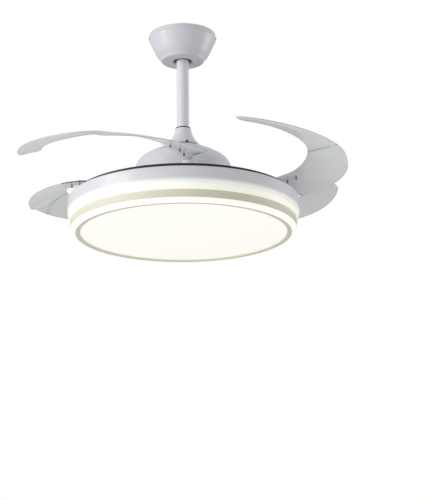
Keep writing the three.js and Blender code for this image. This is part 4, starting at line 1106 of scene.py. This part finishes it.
@dataclass
class BladeCarrier(SubAssembly):
    """Cast spider under the dome, the ring gear round its collar and the four pivots."""

    body = "rotor"
    low_z: float = 0.012
    thickness: float = 0.003
    disc_radius: float = 0.112
    boss_radius: float = 0.015
    hub_radius: float = 0.019
    hub_drop: float = 0.0016
    hub_top_z: float = 0.020
    bore_radius: float = 0.0135
    collar_inner: float = 0.1077
    collar_wall: float = 0.0026
    collar_top_z: float = 0.0203
    arm_half_angle: float = 17.0
    pivot_radius: float = 0.155
    pivot_azimuth: float = -85.3
    ring_teeth: int = 60
    pinion_teeth: int = 15
    gear_low_z: float = 0.0153
    gear_height: float = 0.006
    backlash: float = 0.0009
    addendum: float = 0.92  # tooth above the pitch circle, in modules
    dedendum: float = 1.2  # tooth below it
    pressure_angle: float = 20.0
    ring_bore: float = 0.1109
    pin_radius: float = 0.005
    pin_head_radius: float = 0.010
    pin_head_z: float = 0.0472
    pin_head_height: float = 0.003
    spring_radius: float = 0.008
    spring_wire: float = 0.0016
    spring_z: float = 0.0389
    spring_height: float = 0.008
    spring_curls: int = 3

    @property
    def gear_module(self) -> float:
        """Size of the teeth: the centre distance fits both gears' teeth."""
        return 2 * self.pivot_radius / (self.ring_teeth + self.pinion_teeth)

    def _outline(self, angle: np.ndarray) -> np.ndarray:
        """Radius of the spider's edge at each angle from an arm's middle.

        It is the boss's far circle near the middle, then the straight side of the arm, then the disc.

        Args:
            angle: angles in radians, each within half the pitch of the arms.

        Returns:
            The radius at each angle.
        """
        turn = np.abs(angle)
        root_angle = math.radians(self.arm_half_angle)
        root = np.array([math.cos(root_angle), math.sin(root_angle)]) * self.disc_radius
        side = np.array([self.pivot_radius, self.boss_radius])
        span = side - root
        cross = root[0] * span[1] - root[1] * span[0]
        line = cross / (np.cos(turn) * span[1] - np.sin(turn) * span[0])
        reach = np.maximum(self.boss_radius**2 - (self.pivot_radius * np.sin(turn)) ** 2, 0)
        boss = self.pivot_radius * np.cos(turn) + np.sqrt(reach)
        edge_angle = math.atan2(self.boss_radius, self.pivot_radius)
        radius = np.where(turn < edge_angle, boss, line)
        return np.where(turn > root_angle, self.disc_radius, radius)

    def build_spider(self) -> bpy.types.Object:
        """Spider: a closed section whose outer rows follow the arms and whose inner rows are round."""
        pitch = 2 * math.pi / BLADE_COUNT
        angle = np.linspace(0, 2 * math.pi, 720, endpoint=False)
        edge = self._outline((angle + pitch / 2) % pitch - pitch / 2)
        top = self.low_z + self.thickness
        ease = 0.0005
        collar_outer = self.collar_inner + self.collar_wall
        rows = [
            (self.bore_radius, self.low_z - self.hub_drop),
            (self.hub_radius, self.low_z - self.hub_drop),
            (self.hub_radius, self.low_z),
            (edge - 0.002, self.low_z),
            (edge - ease, self.low_z),
            (edge, self.low_z + ease),
            (edge, top - ease),
            (edge - ease, top),
            (collar_outer + 0.001, top),
            (collar_outer, top + ease),
            (collar_outer, self.collar_top_z),
            (self.collar_inner, self.collar_top_z),
            (self.collar_inner, top),
            (self.hub_radius, top),
            (self.hub_radius, self.hub_top_z),
            (self.bore_radius, self.hub_top_z),
        ]
        grid = turned_to(ringed(rows, angle), math.radians(self.pivot_azimuth))
        return self._add(creased(skin("blade_spider", [grid])), CAST_ALUMINIUM, "blade_carrier")

    def gear_grid(self, teeth: int, radius: float, bore: float, gap_first: bool) -> np.ndarray:
        """Grid of a spur gear: its tooth outline at four levels, and the bore at the two faces.

        A tooth is root, tip, tip, root; its half width on the pitch circle is a quarter of the pitch less
        half the backlash, and its flanks lean by the tangent of the pressure angle.

        Args:
            teeth: number of teeth.
            radius: pitch radius.
            bore: radius of the hole.
            gap_first: whether a gap and not a tooth points along X.

        Returns:
            The grid.
        """
        rise, fall = self.gear_module * self.addendum, self.gear_module * self.dedendum
        tip, root = radius + rise, radius - fall
        half = (math.pi * radius / teeth / 2 - self.backlash / 2) / radius
        flank = math.tan(math.radians(self.pressure_angle)) / radius
        at_root, at_tip = half + flank * fall, half - flank * rise
        offsets = np.array([-at_root * 1.15, -at_root, -at_tip, at_tip, at_root, at_root * 1.15])
        radii = np.array([root, root + 0.0003, tip, tip, root + 0.0003, root])
        centres = (np.arange(teeth) + (0.5 if gap_first else 0)) * 2 * math.pi / teeth
        angle = (centres[:, None] + offsets).ravel()
        edge = np.tile(radii, teeth)
        low, high, ease = self.gear_low_z, self.gear_low_z + self.gear_height, 0.0004
        rows = [(bore, low), (edge - ease, low), (edge, low + ease)]
        rows += [(edge, high - ease), (edge - ease, high), (bore, high)]
        return ringed(rows, angle)

    def build_ring_gear(self) -> bpy.types.Object:
        """Ring gear round the spider's collar."""
        grid = self.gear_grid(self.ring_teeth, self.gear_module * self.ring_teeth / 2, self.ring_bore, False)
        grid = turned_to(grid, math.radians(self.pivot_azimuth))
        return self._add(creased(skin("ring_gear_teeth", [grid])), NYLON, "sync_ring_gear", body="sync")

    def at_pivot(self, grid: np.ndarray, index: int) -> np.ndarray:
        """Grid drawn round the Z axis, put on a pivot."""
        turn = math.radians(self.pivot_azimuth) + 2 * math.pi * index / BLADE_COUNT
        return turned_to(moved(grid, x=self.pivot_radius), turn)

    def build_pins(self) -> None:
        """Pivot pins: foot, shank, and a domed head with a screwdriver recess."""
        foot, head = self.low_z - SEAT_GAP, self.pin_head_z
        outline = [
            (0, self.low_z - 0.003),
            (self.pin_radius + 0.0025, self.low_z - 0.003),
            (self.pin_radius + 0.0025, foot),
            (self.pin_radius, foot),
            (self.pin_radius, head),
            (self.pin_head_radius, head),
            (self.pin_head_radius, head + self.pin_head_height * 0.7),
            (self.pin_head_radius * 0.7, head + self.pin_head_height),
            (0.003, head + self.pin_head_height),
            (0.0024, head + self.pin_head_height * 0.45),
            (0, head + self.pin_head_height * 0.4),
        ]
        profile = eased(outline, 0.0005) + [0, RIM]
        for i in range(BLADE_COUNT):
            grid = self.at_pivot(turned(profile, 48), i)
            self._add(skin(f"pivot_pin_turned_{i + 1}", [grid]), STEEL, f"pivot_pin_{i + 1}")

    def build_springs(self) -> None:
        """Torsion springs: a round wire on a helix about each pin."""
        steps, sides = self.spring_curls * 40, 12
        turn = np.linspace(0, 2 * math.pi * self.spring_curls, steps)[:, None]
        around = np.linspace(0, 2 * math.pi, sides, endpoint=False)
        r = self.spring_radius + self.spring_wire / 2 * np.cos(around)
        climb = (self.spring_height - self.spring_wire) * turn / turn[-1]
        z = self.spring_z + self.spring_wire / 2 * (1 + np.sin(around)) + climb + RIM
        wire = np.stack([r * np.cos(turn), r * np.sin(turn), z], axis=2)
        for i in range(BLADE_COUNT):
            spring = skin(f"return_spring_wire_{i + 1}", [self.at_pivot(wire, i)], Ends.CAPS)
            self._add(spring, STEEL, f"return_spring_{i + 1}")

    def build(self) -> None:
        """Builds the spider, ring gear, pins and springs."""
        self.build_spider()
        self.build_ring_gear()
        self.build_pins()
        self.build_springs()


# ---------------------------------------------------------------- blades


@dataclass
class BladeSet(SubAssembly):
    """Four crescent blades with their holders, clamps, screws and pinions."""

    carrier: BladeCarrier
    opening: float = 73.6  # how far the blades are swung out at rest, degrees
    thickness: float = 0.0024
    span: float = 165.9
    lag: float = 8.0
    root_shear: float = 0.10
    step: float = 0.42
    step_end: float = 0.46
    step_shear: float = 0.048
    # The crease is where a painted shade line crosses the blade, from the inner edge at its start to the outer edge at
    # its end.
    crease: tuple[float, float] = (0.43, 0.56)  # where the crease starts and ends, inner and outer edge
    crease_width: float = 0.0045
    # The root's end also carries painted shade over this length.
    root_edge: float = 0.006  # length of the root's darker, narrower end
    camber: float = 0.003
    tip_rounding: float = 0.024
    hub_low_z: float = 0.0216
    hub_height: float = 0.017
    hub_radius: float = 0.015
    holder_inner: float = -0.009  # from the pivot, as every reach below
    holder_edge: Knots = ((0, 0.013), (22, 0.023), (30, 0.029))  # degrees back, reach of the outer edge
    holder_reach: float = 40.0  # degrees
    holder_plate: float = 0.005
    clamp_inner: float = -0.005
    clamp_edge: Knots = ((9.5, 0.009), (22, 0.019), (30, 0.025))
    clamp_margin: float = 1.5  # degrees left free at either end of the clamp
    clamp_plate: float = 0.002
    screw_spots: Knots = ((0.159, 16.0), (0.167, 26.0), (0.165, 35.0))  # radius, degrees back
    screw_head: tuple[float, float, float] = (0.0034, 0.0022, 0.0014)  # radius, height, drive
    screw_radius: float = 0.002
    screw_past: float = 0.0008  # how far the ends stand out below
    inner_reaches: Knots = ((0, 0), (0.55, -0.0184), (1, 0.0066))
    outer_reaches: Knots = ((0, 0.082), (0.55, 0.0628), (1, 0.052))
    inner_rises: Knots = ((0, 0.0039), (0.2, 0.0150), (0.42, 0.0266), (0.71, 0.0294), (1, 0.0398))
    edge_drops: Knots = (
        (0, 0.0162),
        (0.36, 0.0312),
        (0.40, 0.0322),
        (0.42, 0.0314),
        (0.46, 0.0243),
        (0.5, 0.0228),
        (1, 0.0089),
    )

    @property
    def hub_top_z(self) -> float:
        """Top of the holders' hubs."""
        return self.hub_low_z + self.hub_height

    def _outer_share(self, t: np.ndarray) -> np.ndarray:
        """Share of the arc reached by the outer edge, which trails at the root."""
        knots_t = [0, self.step, 1]
        knots_s = [self.root_shear, self.step + self.step_shear, 1]
        return np.minimum(t, 0) + np.interp(t, knots_t, knots_s)

    def _reaches(self, share: np.ndarray) -> tuple[np.ndarray, np.ndarray]:
        """Radii of the inner and outer edges at a share of the arc."""
        inner = self.carrier.pivot_radius + curve_through(self.inner_reaches, share)
        outer = self.carrier.pivot_radius + curve_through(self.outer_reaches, share)
        return inner, outer

    def _height(self, t: np.ndarray, u: np.ndarray) -> np.ndarray:
        """Height of the middle surface: inner edge's rise, less the outer edge's drop, plus the camber."""
        drop = np.interp(t, *np.array(self.edge_drops).T)
        camber = self.camber * np.sin(math.pi * np.clip(u, 0, 1))
        return self.hub_top_z + curve_through(self.inner_rises, t) - drop * u + camber

    def surface(self, t: np.ndarray, u: np.ndarray, lift: np.ndarray) -> np.ndarray:
        """Points of a closed blade: t runs from root to tip, u from inner to outer edge.

        The azimuth follows t, sheared towards the outer edge; the radius runs between the two edges.

        Args:
            t: share of the blade's length.
            u: share of its width.
            lift: distance above the middle surface.

        Returns:
            Array of points, with height above the rim.
        """
        share = t + (self._outer_share(t) - t) * u
        azimuth = np.radians(-self.lag - self.span * share)
        inner, outer = self._reaches(share)
        radius = inner + (outer - inner) * u
        z = self._height(t, u) + lift
        return np.stack([radius * np.cos(azimuth), radius * np.sin(azimuth), z], axis=-1)

    def swung(self, points: np.ndarray, index: int) -> np.ndarray:
        """Points of a closed blade, swung out about its pivot and put in its place on the fan."""
        pivot = (self.carrier.pivot_radius, 0)
        opened = turned_to(points, math.radians(self.opening), pivot)
        turn = math.radians(self.carrier.pivot_azimuth) + 2 * math.pi * index / BLADE_COUNT
        return moved(turned_to(opened, turn), z=RIM)

    def _stations(self) -> tuple[np.ndarray, np.ndarray]:
        """Stations along the blade and the share of the full width at each.

        Returns:
            The stations, close together at the step and at the tip, and the widths: a half circle at the tip.
        """
        tip_radius = self.carrier.pivot_radius + (self.inner_reaches[-1][1] + self.outer_reaches[-1][1]) / 2
        tip_share = self.tip_rounding / (tip_radius * math.radians(self.span))
        root = self.step * (1 - np.cos(np.linspace(0, math.pi, 44))) / 2
        creased_part = np.linspace(self.step_end, self.crease[1] + 0.02, 40)[:-1]
        middle = np.linspace(self.crease[1] + 0.02, 1 - tip_share, 50)
        a = np.linspace(0, math.pi / 2, 18)[1:]
        tip = 1 - tip_share + tip_share * np.sin(a)
        step = np.linspace(self.step, self.step_end, 14)[1:-1]
        stations = np.concatenate([root, step, creased_part, middle, tip])
        past = np.clip((stations - (1 - tip_share)) / tip_share, 0, 1)
        width = np.sqrt(np.maximum(1 - past**2, 1e-4))
        from_root = np.clip(stations / self.root_edge, 0, 1)
        width *= 1 - 0.03 * (1 - from_root) ** 2
        return stations, width

    def build_blade(self, index: int) -> bpy.types.Object:
        """One blade: at each station a flat rounded section, |x|^8 + |y|^8 = 1 across width and thickness."""
        stations, width = self._stations()
        a = np.linspace(0, 2 * math.pi, 84, endpoint=False)
        across = np.cos(a)
        over = np.sign(np.sin(a)) * (1 - np.abs(across) ** 8) ** 0.125
        u = 0.5 + 0.5 * across[None, :] * width[:, None]
        t = stations[:, None] + 0 * u
        lift = over[None, :] * self.thickness / 2 * np.minimum(1, 0.3 + width[:, None])
        grid = self.swung(self.surface(t, u, lift), index)
        # The marks are painted shade: a darker greenish line along both edges, and near-black lines at the root end
        # and along the crease.
        rim = 0.45 * (np.abs(across)[None, :] > 0.995) + 0 * u
        root = np.clip(1 - t / self.root_edge, 0, 1)
        start, end = self.crease
        off = (t - start - (end - start) * u) / self.crease_width
        crease = 1.1 * np.exp(-(off**2)) * (1 - 0.6 * np.sin(math.pi * u**3))
        marks = np.clip(np.maximum(np.maximum(root, crease), rim), 0, 1)
        blade = skin(f"crescent_blade_{index + 1}", [grid], Ends.CAPS, marks)
        return self._add(creased(blade, 40), CLEAR_GREY, f"blade_{index + 1}", body=f"blade_unit_{index + 1}")

    def _root_height(self, radius: np.ndarray, back: np.ndarray) -> np.ndarray:
        """Height of a blade's middle surface near its root, by the surface's formula turned round.

        Args:
            radius: distance from the fan's axis.
            back: azimuth back from the pivot, degrees.

        Returns:
            The height above the rim at each place.
        """
        share = (back - self.lag) / self.span + 0 * radius
        inner, outer = self._reaches(share)
        u = (radius - inner) / (outer - inner)
        shear = self.root_shear * u
        t = (share - shear) / (1 - shear / self.step + self.step_shear * u / self.step)
        return self._height(t, u)

    def _patch(
        self, near: float, far: float, inner: float, outer: Knots, low: float, high: float
    ) -> np.ndarray:
        """Plate that follows the blade's root: the blade's own height plus an offset.

        Args:
            near: azimuth of the end by the pivot, degrees back from it.
            far: azimuth of the other end.
            inner: reach of the inner edge from the pivot.
            outer: (azimuth, reach) knots of the outer edge.
            low: offset of the underside from the blade's middle surface.
            high: offset of the top.

        Returns:
            Grid of the closed plate.
        """
        back = np.linspace(near, far, 40)[:, None]
        a = np.linspace(0, 2 * math.pi, 48, endpoint=False)
        across = np.sign(np.cos(a)) * np.abs(np.cos(a)) ** 0.3
        over = np.sign(np.sin(a)) * np.abs(np.sin(a)) ** 0.3
        pivot = self.carrier.pivot_radius
        start, edge = pivot + inner, pivot + np.interp(back, *np.array(outer).T)
        ends = np.sqrt(np.maximum(1 - np.abs(2 * (back - near) / (far - near) - 1) ** 24, 1e-3))
        radius = (start + edge) / 2 + (edge - start) / 2 * across * ends
        z = self._root_height(radius, back) + (low + high) / 2 + (high - low) / 2 * over
        azimuth = np.radians(-back) + 0 * radius
        return np.stack([radius * np.cos(azimuth), radius * np.sin(azimuth), z], axis=2)

    def build_holder(self, index: int) -> bpy.types.Object:
        """Holder: a hub on the pivot pin and a plate under the blade's root."""
        under = -self.thickness / 2 - SEAT_GAP
        low, reach = under - self.holder_plate, self.holder_reach
        plate = self._patch(0, reach, self.holder_inner, self.holder_edge, low, under)
        bore = self.carrier.pin_radius + SEAT_GAP
        outline = boxed(bore, self.hub_radius, self.hub_low_z, self.hub_top_z)
        hub = moved(turned(eased(outline, 0.0008), SMALL_ROUND), x=self.carrier.pivot_radius)
        hub_piece = skin(f"holder_hub_{index + 1}", [self.swung(hub, index)])
        body = f"blade_unit_{index + 1}"
        self._add(hub_piece, WHITE_PLASTIC, body=body)
        piece = creased(skin(f"holder_plate_{index + 1}", [self.swung(plate, index)], Ends.CAPS))
        return self._add(piece, CLEAR_WHITE, f"blade_holder_{index + 1}", body=body)

    def build_clamp(self, index: int) -> bpy.types.Object:
        """Moulded clamp plate on top of the blade's root, clear like the blade."""
        over = self.thickness / 2 + SEAT_GAP
        near, far = self.lag + self.clamp_margin, self.holder_reach - self.clamp_margin
        grid = self._patch(near, far, self.clamp_inner, self.clamp_edge, over, over + self.clamp_plate)
        piece = creased(skin(f"clamp_plate_{index + 1}", [self.swung(grid, index)], Ends.CAPS))
        return self._add(piece, CLEAR_GREY, f"blade_clamp_{index + 1}", body=f"blade_unit_{index + 1}")

    def build_screws(self, index: int) -> bpy.types.Object:
        """Three pan-head screws through each clamp, upright on its top face; their ends show below."""
        over = self.thickness / 2 + SEAT_GAP + self.clamp_plate
        through = over + self.thickness / 2 + SEAT_GAP + self.holder_plate + self.screw_past
        head = pan_head(*self.screw_head)
        end = turned(eased(boxed(0, self.screw_radius, -through, 0), 0.0003), 20)
        radius, back = np.array(self.screw_spots).T
        height = self._root_height(radius, back) + over
        angle = np.radians(-back)
        spots = np.stack([radius * np.cos(angle), radius * np.sin(angle), height], axis=1)
        grids = [self.swung(moved(grid, *spot), index) for spot in spots for grid in (head, end)]
        screws = skin(f"clamp_screws_{index + 1}", grids)
        return self._add(screws, DARK_SCREW, body=f"blade_unit_{index + 1}")

    def build_pinion(self, index: int) -> bpy.types.Object:
        """Pinion under the holder's hub, in mesh with the ring gear."""
        module, teeth = self.carrier.gear_module, self.carrier.pinion_teeth
        bore = self.carrier.pin_radius + SEAT_GAP
        grid = self.carrier.gear_grid(teeth, module * teeth / 2, bore, True)
        grid = self.carrier.at_pivot(turned_to(grid, math.pi), index)
        piece = creased(skin(f"pinion_teeth_{index + 1}", [grid]))
        return self._add(piece, NYLON, f"blade_pinion_{index + 1}", body=f"blade_unit_{index + 1}")

    def build(self) -> None:
        """Builds every blade with what carries it."""
        for index in range(BLADE_COUNT):
            self.build_blade(index)
            self.build_holder(index)
            self.build_clamp(index)
            self.build_screws(index)
            self.build_pinion(index)


# ---------------------------------------------------------------- lamp


@dataclass
class Lamp(SubAssembly):
    """Round lamp: black top plate, white drum, two glowing rings with a band between, and diffuser."""

    radius: float = 0.250
    wall: float = 0.0025
    flange: float = 0.018
    height: float = 0.032
    chassis_radius: float = 0.238
    chassis_top_z: float = 0.0065
    chassis_wall: float = 0.0018
    chassis_bore: float = 0.0088
    bead: float = 0.0028  # height of the top plate's rolled rim
    upper_radius: float = 0.247
    upper_hidden: float = 0.010
    upper_visible: float = 0.0157
    ring_wall: float = 0.004
    ring_flange: float = 0.009
    band_radius: float = 0.2435
    band_wall: float = 0.002
    band_height: float = 0.0165
    lower_inset: float = 0.0005
    lower_run: float = 0.010
    lower_height: float = 0.009
    bezel_width: float = 0.010
    bezel_thickness: float = 0.0034
    diffuser_thickness: float = 0.003
    bulge: float = 0.0015  # how far the diffuser's middle hangs down
    pressed_radii: tuple[float, float] = (0.11, 0.20)  # the top plate's pressed rings
    pressed_depth: float = 0.0008
    pressed_width: float = 0.004
    screw_count: int = 8
    screw_circle: float = 0.2305
    screw_start: float = 0.2  # angle of the first screw, radians
    screw_head: tuple[float, float, float] = (0.0036, 0.0018, 0.0014)  # radius, height, drive

    @property
    def band_top_z(self) -> float:
        """Top of the band."""
        return -self.height - self.upper_visible - SEAT_GAP

    @property
    def lower_top_z(self) -> float:
        """Top of the lower light ring."""
        return self.band_top_z - self.band_height - SEAT_GAP

    @property
    def bottom_z(self) -> float:
        """Underside of the lamp."""
        return self.lower_top_z - self.lower_height

    @property
    def foot_radius(self) -> float:
        """Where the lower light ring ends, at the bezel."""
        return self.band_radius - self.lower_inset - self.lower_run

    def _round(self, name: str, profile: np.ndarray, finish: Finish, *replaced: str) -> bpy.types.Object:
        """Turned piece of the lamp, its profile given above the rim.

        Args:
            name: the piece's name.
            profile: closed profile.
            finish: its finish.
            replaced: the nodes it replaces.

        Returns:
            The piece.
        """
        return self._add(creased(skin(name, [turned(profile + [0, RIM])]), 50), finish, *replaced)

    def build_chassis(self) -> None:
        """Top plate: a pan with a rolled rim and two shallow pressed rings."""
        top, low = self.chassis_top_z, self.chassis_top_z - self.chassis_wall
        r = np.linspace(self.chassis_bore, self.chassis_radius - 0.008, 90)
        press = np.exp(-(((r[:, None] - self.pressed_radii) / self.pressed_width) ** 2)).sum(axis=1)
        upper = np.stack([r, top - self.pressed_depth * press], axis=1)
        rim = spline(
            [
                (self.chassis_radius - 0.006, top + 0.0004),
                (self.chassis_radius - 0.004, top + self.bead * 0.8),
                (self.chassis_radius - 0.002, top + self.bead),
                (self.chassis_radius - 0.0003, top + self.bead * 0.6),
                (self.chassis_radius, top),
            ],
            16,
        )
        wall = self.chassis_radius - self.chassis_wall
        under = [(self.chassis_radius, SEAT_GAP), (wall, SEAT_GAP), (wall, low), (self.chassis_bore, low)]
        profile = np.concatenate([upper, rim, np.array(under)])
        self._round("lamp_top_plate", profile, BLACK_COAT, "lamp_chassis")
        angle = np.arange(self.screw_count) * 2 * math.pi / self.screw_count + self.screw_start
        head = moved(pan_head(*self.screw_head), x=self.screw_circle, z=top + RIM)
        self._add(skin("lamp_top_screws", [turned_to(head, a) for a in angle]), STEEL)

    def build_housing(self) -> bpy.types.Object:
        """White drum with a rounded top edge and an eased lower edge."""
        inner = self.radius - self.wall
        outline = [
            (self.radius - self.flange, -self.wall),
            (inner, -self.wall),
            (inner, -self.height),
            (self.radius, -self.height),
            (self.radius, 0),
            (self.radius - self.flange, 0),
        ]
        return self._round("drum_shell", eased(outline, 0.0018, 7), DRUM_COAT, "light_housing")

    def build_upper_ring(self) -> bpy.types.Object:
        """Upper light ring, set back from the drum's wall."""
        top, low = -self.height + self.upper_hidden, -self.height - self.upper_visible
        flange, inner = self.upper_radius - self.ring_flange, self.upper_radius - self.ring_wall
        outline = [(flange, low), (self.upper_radius, low), (self.upper_radius, top)]
        outline += [(inner, top), (inner, low + 0.003), (flange, low + 0.003)]
        return self._round("upper_glow_ring", eased(outline, 0.0012), UPPER_OPAL, "upper_light_ring")

    def build_band(self) -> bpy.types.Object:
        """Band between the glowing rings: white paint whose tan colour is painted warm light and shade."""
        low, inner = self.band_top_z - self.band_height, self.band_radius - self.band_wall
        outline = boxed(inner, self.band_radius, low, self.band_top_z)
        return self._round("band_warm_shade_tan", eased(outline, 0.0006), CHAMPAGNE, "band_ring")

    def build_lower_ring(self) -> bpy.types.Object:
        """Lower light ring, a quarter ellipse in from the band down to the bezel."""
        shoulder = self.band_radius - self.lower_inset
        a = np.linspace(0, math.pi / 2, 14)
        run, fall = self.lower_run * np.sin(a), self.lower_height * np.cos(a)
        curve = np.stack([self.foot_radius + run, self.lower_top_z - fall], axis=1)
        ledge = self.bottom_z + self.bezel_thickness + SEAT_GAP
        shelf = ledge + self.diffuser_thickness
        wall, seat = shoulder - self.ring_wall, self.foot_radius - self.bezel_width / 4
        inner = [(wall, self.lower_top_z), (wall, shelf), (seat, shelf), (seat, ledge)]
        inner.append((self.foot_radius, ledge))
        profile = np.concatenate([curve, np.array(inner)])
        return self._round("lower_glow_ring", profile, LOWER_OPAL, "lower_light_ring")

    def build_bezel(self) -> bpy.types.Object:
        """Flat bezel, slightly crowned, in the band's tan of painted warm light and shade."""
        outer = self.foot_radius - SEAT_GAP
        inner = outer - self.bezel_width
        low, top = self.bottom_z, self.bottom_z + self.bezel_thickness
        outline = [(inner, low + 0.0006), (inner + 0.003, low), (outer - 0.002, low), (outer, low + 0.0006)]
        outline += [(outer, top), (inner, top)]
        return self._round("bezel_warm_shade_tan", eased(outline, 0.0005), CHAMPAGNE, "bezel_ring")

    def build_diffuser(self) -> bpy.types.Object:
        """Opal disc, flat on top; its underside bulges down by bulge times 1 - (r / outer radius)^2."""
        outer = self.foot_radius - SEAT_GAP - self.bezel_width / 4
        low = self.bottom_z + self.bezel_thickness + SEAT_GAP
        r = np.linspace(0, outer, 60)
        under = np.stack([r, low - self.bulge * (1 - (r / outer) ** 2)], axis=1)
        top = np.stack([r[::-1], 0 * r + low + self.diffuser_thickness], axis=1)
        return self._round("opal_diffuser", np.concatenate([under, top]), DIFFUSER_OPAL, "diffuser")

    def build(self) -> None:
        """Builds the lamp's shells and finishes what they hide."""
        self.build_chassis()
        self.build_housing()
        self.build_upper_ring()
        self.build_band()
        self.build_lower_ring()
        self.build_bezel()
        self.build_diffuser()
        self._dress(ZINC, "lamp_hub_plate")
        self._dress(STEEL, "shaft_nut")
        self._dress(BOARD, "led_board")
        self._dress(WHITE_PLASTIC, "led_driver")


# ---------------------------------------------------------------- studio


@dataclass
class Camera:
    """Camera below the lamp, looking up at it, as in the photograph."""

    distance: float = 3.7955
    elevation: float = 17.2
    aim_z: float = 0.0105
    focal_pixels: float = 1753.5
    frame_height: float = 500.0
    aim_left: float = 27.4  # pixels from the frame's middle to the lamp's axis
    aim_above: float = 53.5
    roll: float = 0.62  # degrees

    def build(self) -> bpy.types.Object:
        """Places the camera on the lamp's axis of view and turns it so that the lamp sits off the middle.

        Returns:
            The camera.
        """
        data = bpy.data.cameras.new("camera")
        data.sensor_fit = "VERTICAL"
        data.sensor_height = 36.0
        data.lens = self.focal_pixels * data.sensor_height / self.frame_height
        camera = bpy.data.objects.new("camera", data)
        rise = math.radians(self.elevation)
        target_z = RIM + self.aim_z
        camera.location = (0, -self.distance * math.cos(rise), target_z - self.distance * math.sin(rise))
        tilt = rise - math.atan(self.aim_above / self.focal_pixels)
        pan = math.atan(self.aim_left / self.focal_pixels) / math.cos(rise)
        level = Euler((math.pi / 2 + tilt, 0, -pan)).to_matrix()
        turn = level @ Matrix.Rotation(-math.radians(self.roll), 3, "Z")
        camera.rotation_euler = turn.to_euler()
        bpy.context.scene.collection.objects.link(camera)
        bpy.context.scene.camera = camera
        return camera


@dataclass(frozen=True)
class SoftLight:
    """Square soft light that looks at the lamp; its power is in watts."""

    name: str
    at: Place
    size: float
    power: float

    def build(self) -> bpy.types.Object:
        """Places the light and turns it to the lamp.

        Returns:
            The light.
        """
        data = bpy.data.lights.new(self.name, "AREA")
        data.size = self.size
        data.energy = self.power
        light = bpy.data.objects.new(self.name, data)
        light.location = self.at
        aim = Vector((0, 0, RIM)) - light.location
        light.rotation_euler = aim.to_track_quat("-Z", "Y").to_euler()
        bpy.context.scene.collection.objects.link(light)
        return light


@dataclass
class Studio:
    """Pale floor, white surroundings and soft lights."""

    floor_z: float = -2.6
    floor_size: float = 14.0
    floor_colour: Colour = (0.86, 0.86, 0.86)
    surround: float = 0.58
    surround_colour: Colour = (0.97, 0.98, 1.0)
    lights: tuple[SoftLight, ...] = (
        SoftLight("key_left", (-2.6, -1.2, -0.3), 1.6, 48.0),
        SoftLight("fill_front", (1.0, -3.0, -1.6), 2.0, 2.5),
        SoftLight("rim_right", (2.6, 0.6, -0.4), 1.2, 19.0),
        SoftLight("low_soft", (-0.7, -1.0, -2.3), 3.0, 26.0),
    )

    def build_floor(self) -> bpy.types.Object:
        """Plain pale floor far below the fan."""
        half, z = self.floor_size / 2, self.floor_z
        places = [(-half, -half, z), (half, -half, z), (half, half, z), (-half, half, z)]
        mesh = bpy.data.meshes.new("floor")
        mesh.from_pydata(places, [], [(0, 1, 2, 3)])
        floor = bpy.data.objects.new("floor", mesh)
        bpy.context.scene.collection.objects.link(floor)
        material = bpy.data.materials.new("floor_pale")
        material.use_nodes = True
        shader = material.node_tree.nodes["Principled BSDF"]
        shader.inputs["Base Color"].default_value = (*self.floor_colour, 1)
        shader.inputs["Roughness"].default_value = 0.85
        mesh.materials.append(material)
        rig.stage(floor)
        return floor

    def build_surround(self) -> None:
        """World that the camera sees white and that lights the fan more dimly."""
        world = bpy.data.worlds.new("studio")
        bpy.context.scene.world = world
        world.use_nodes = True
        tree = world.node_tree
        lit = tree.nodes["Background"]
        lit.inputs["Color"].default_value = (*self.surround_colour, 1)
        lit.inputs["Strength"].default_value = self.surround
        seen = _node(tree, "ShaderNodeBackground")
        seen.inputs["Color"].default_value = (1, 1, 1, 1)
        path = _node(tree, "ShaderNodeLightPath")
        choice = _node(tree, "ShaderNodeMixShader")
        tree.links.new(path.outputs["Is Camera Ray"], choice.inputs["Fac"])
        tree.links.new(lit.outputs[0], choice.inputs[1])
        tree.links.new(seen.outputs[0], choice.inputs[2])
        tree.links.new(choice.outputs[0], tree.nodes["World Output"].inputs["Surface"])

    def build(self) -> None:
        """Builds floor, surroundings and the lights."""
        self.build_floor()
        self.build_surround()
        for light in self.lights:
            light.build()
        bpy.context.scene.view_settings.view_transform = "Standard"


def write_sizes() -> None:
    """Writes the frame's box and the visual model's box as plain lists."""
    boxes = {"cad": cad_bounds, "visual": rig.bounds()}
    plain = {name: [list(map(float, corner)) for corner in box] for name, box in boxes.items()}
    with open("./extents.json", "w") as out:
        json.dump(plain, out)


def main() -> None:
    """Builds the camera, the fan's sub-assemblies in order from the ceiling down, and the studio."""
    logging.basicConfig(level=logging.INFO, format="%(name)s: %(message)s")
    Camera().build()
    carrier = BladeCarrier()
    parts = [CeilingFixing(), Downrod(), Motor(), carrier, BladeSet(carrier), Lamp()]
    for part in parts:
        log.info("building %s", type(part).__name__)
        part.build()
    Studio().build()
    write_sizes()


if __name__ == "__main__":
    main()
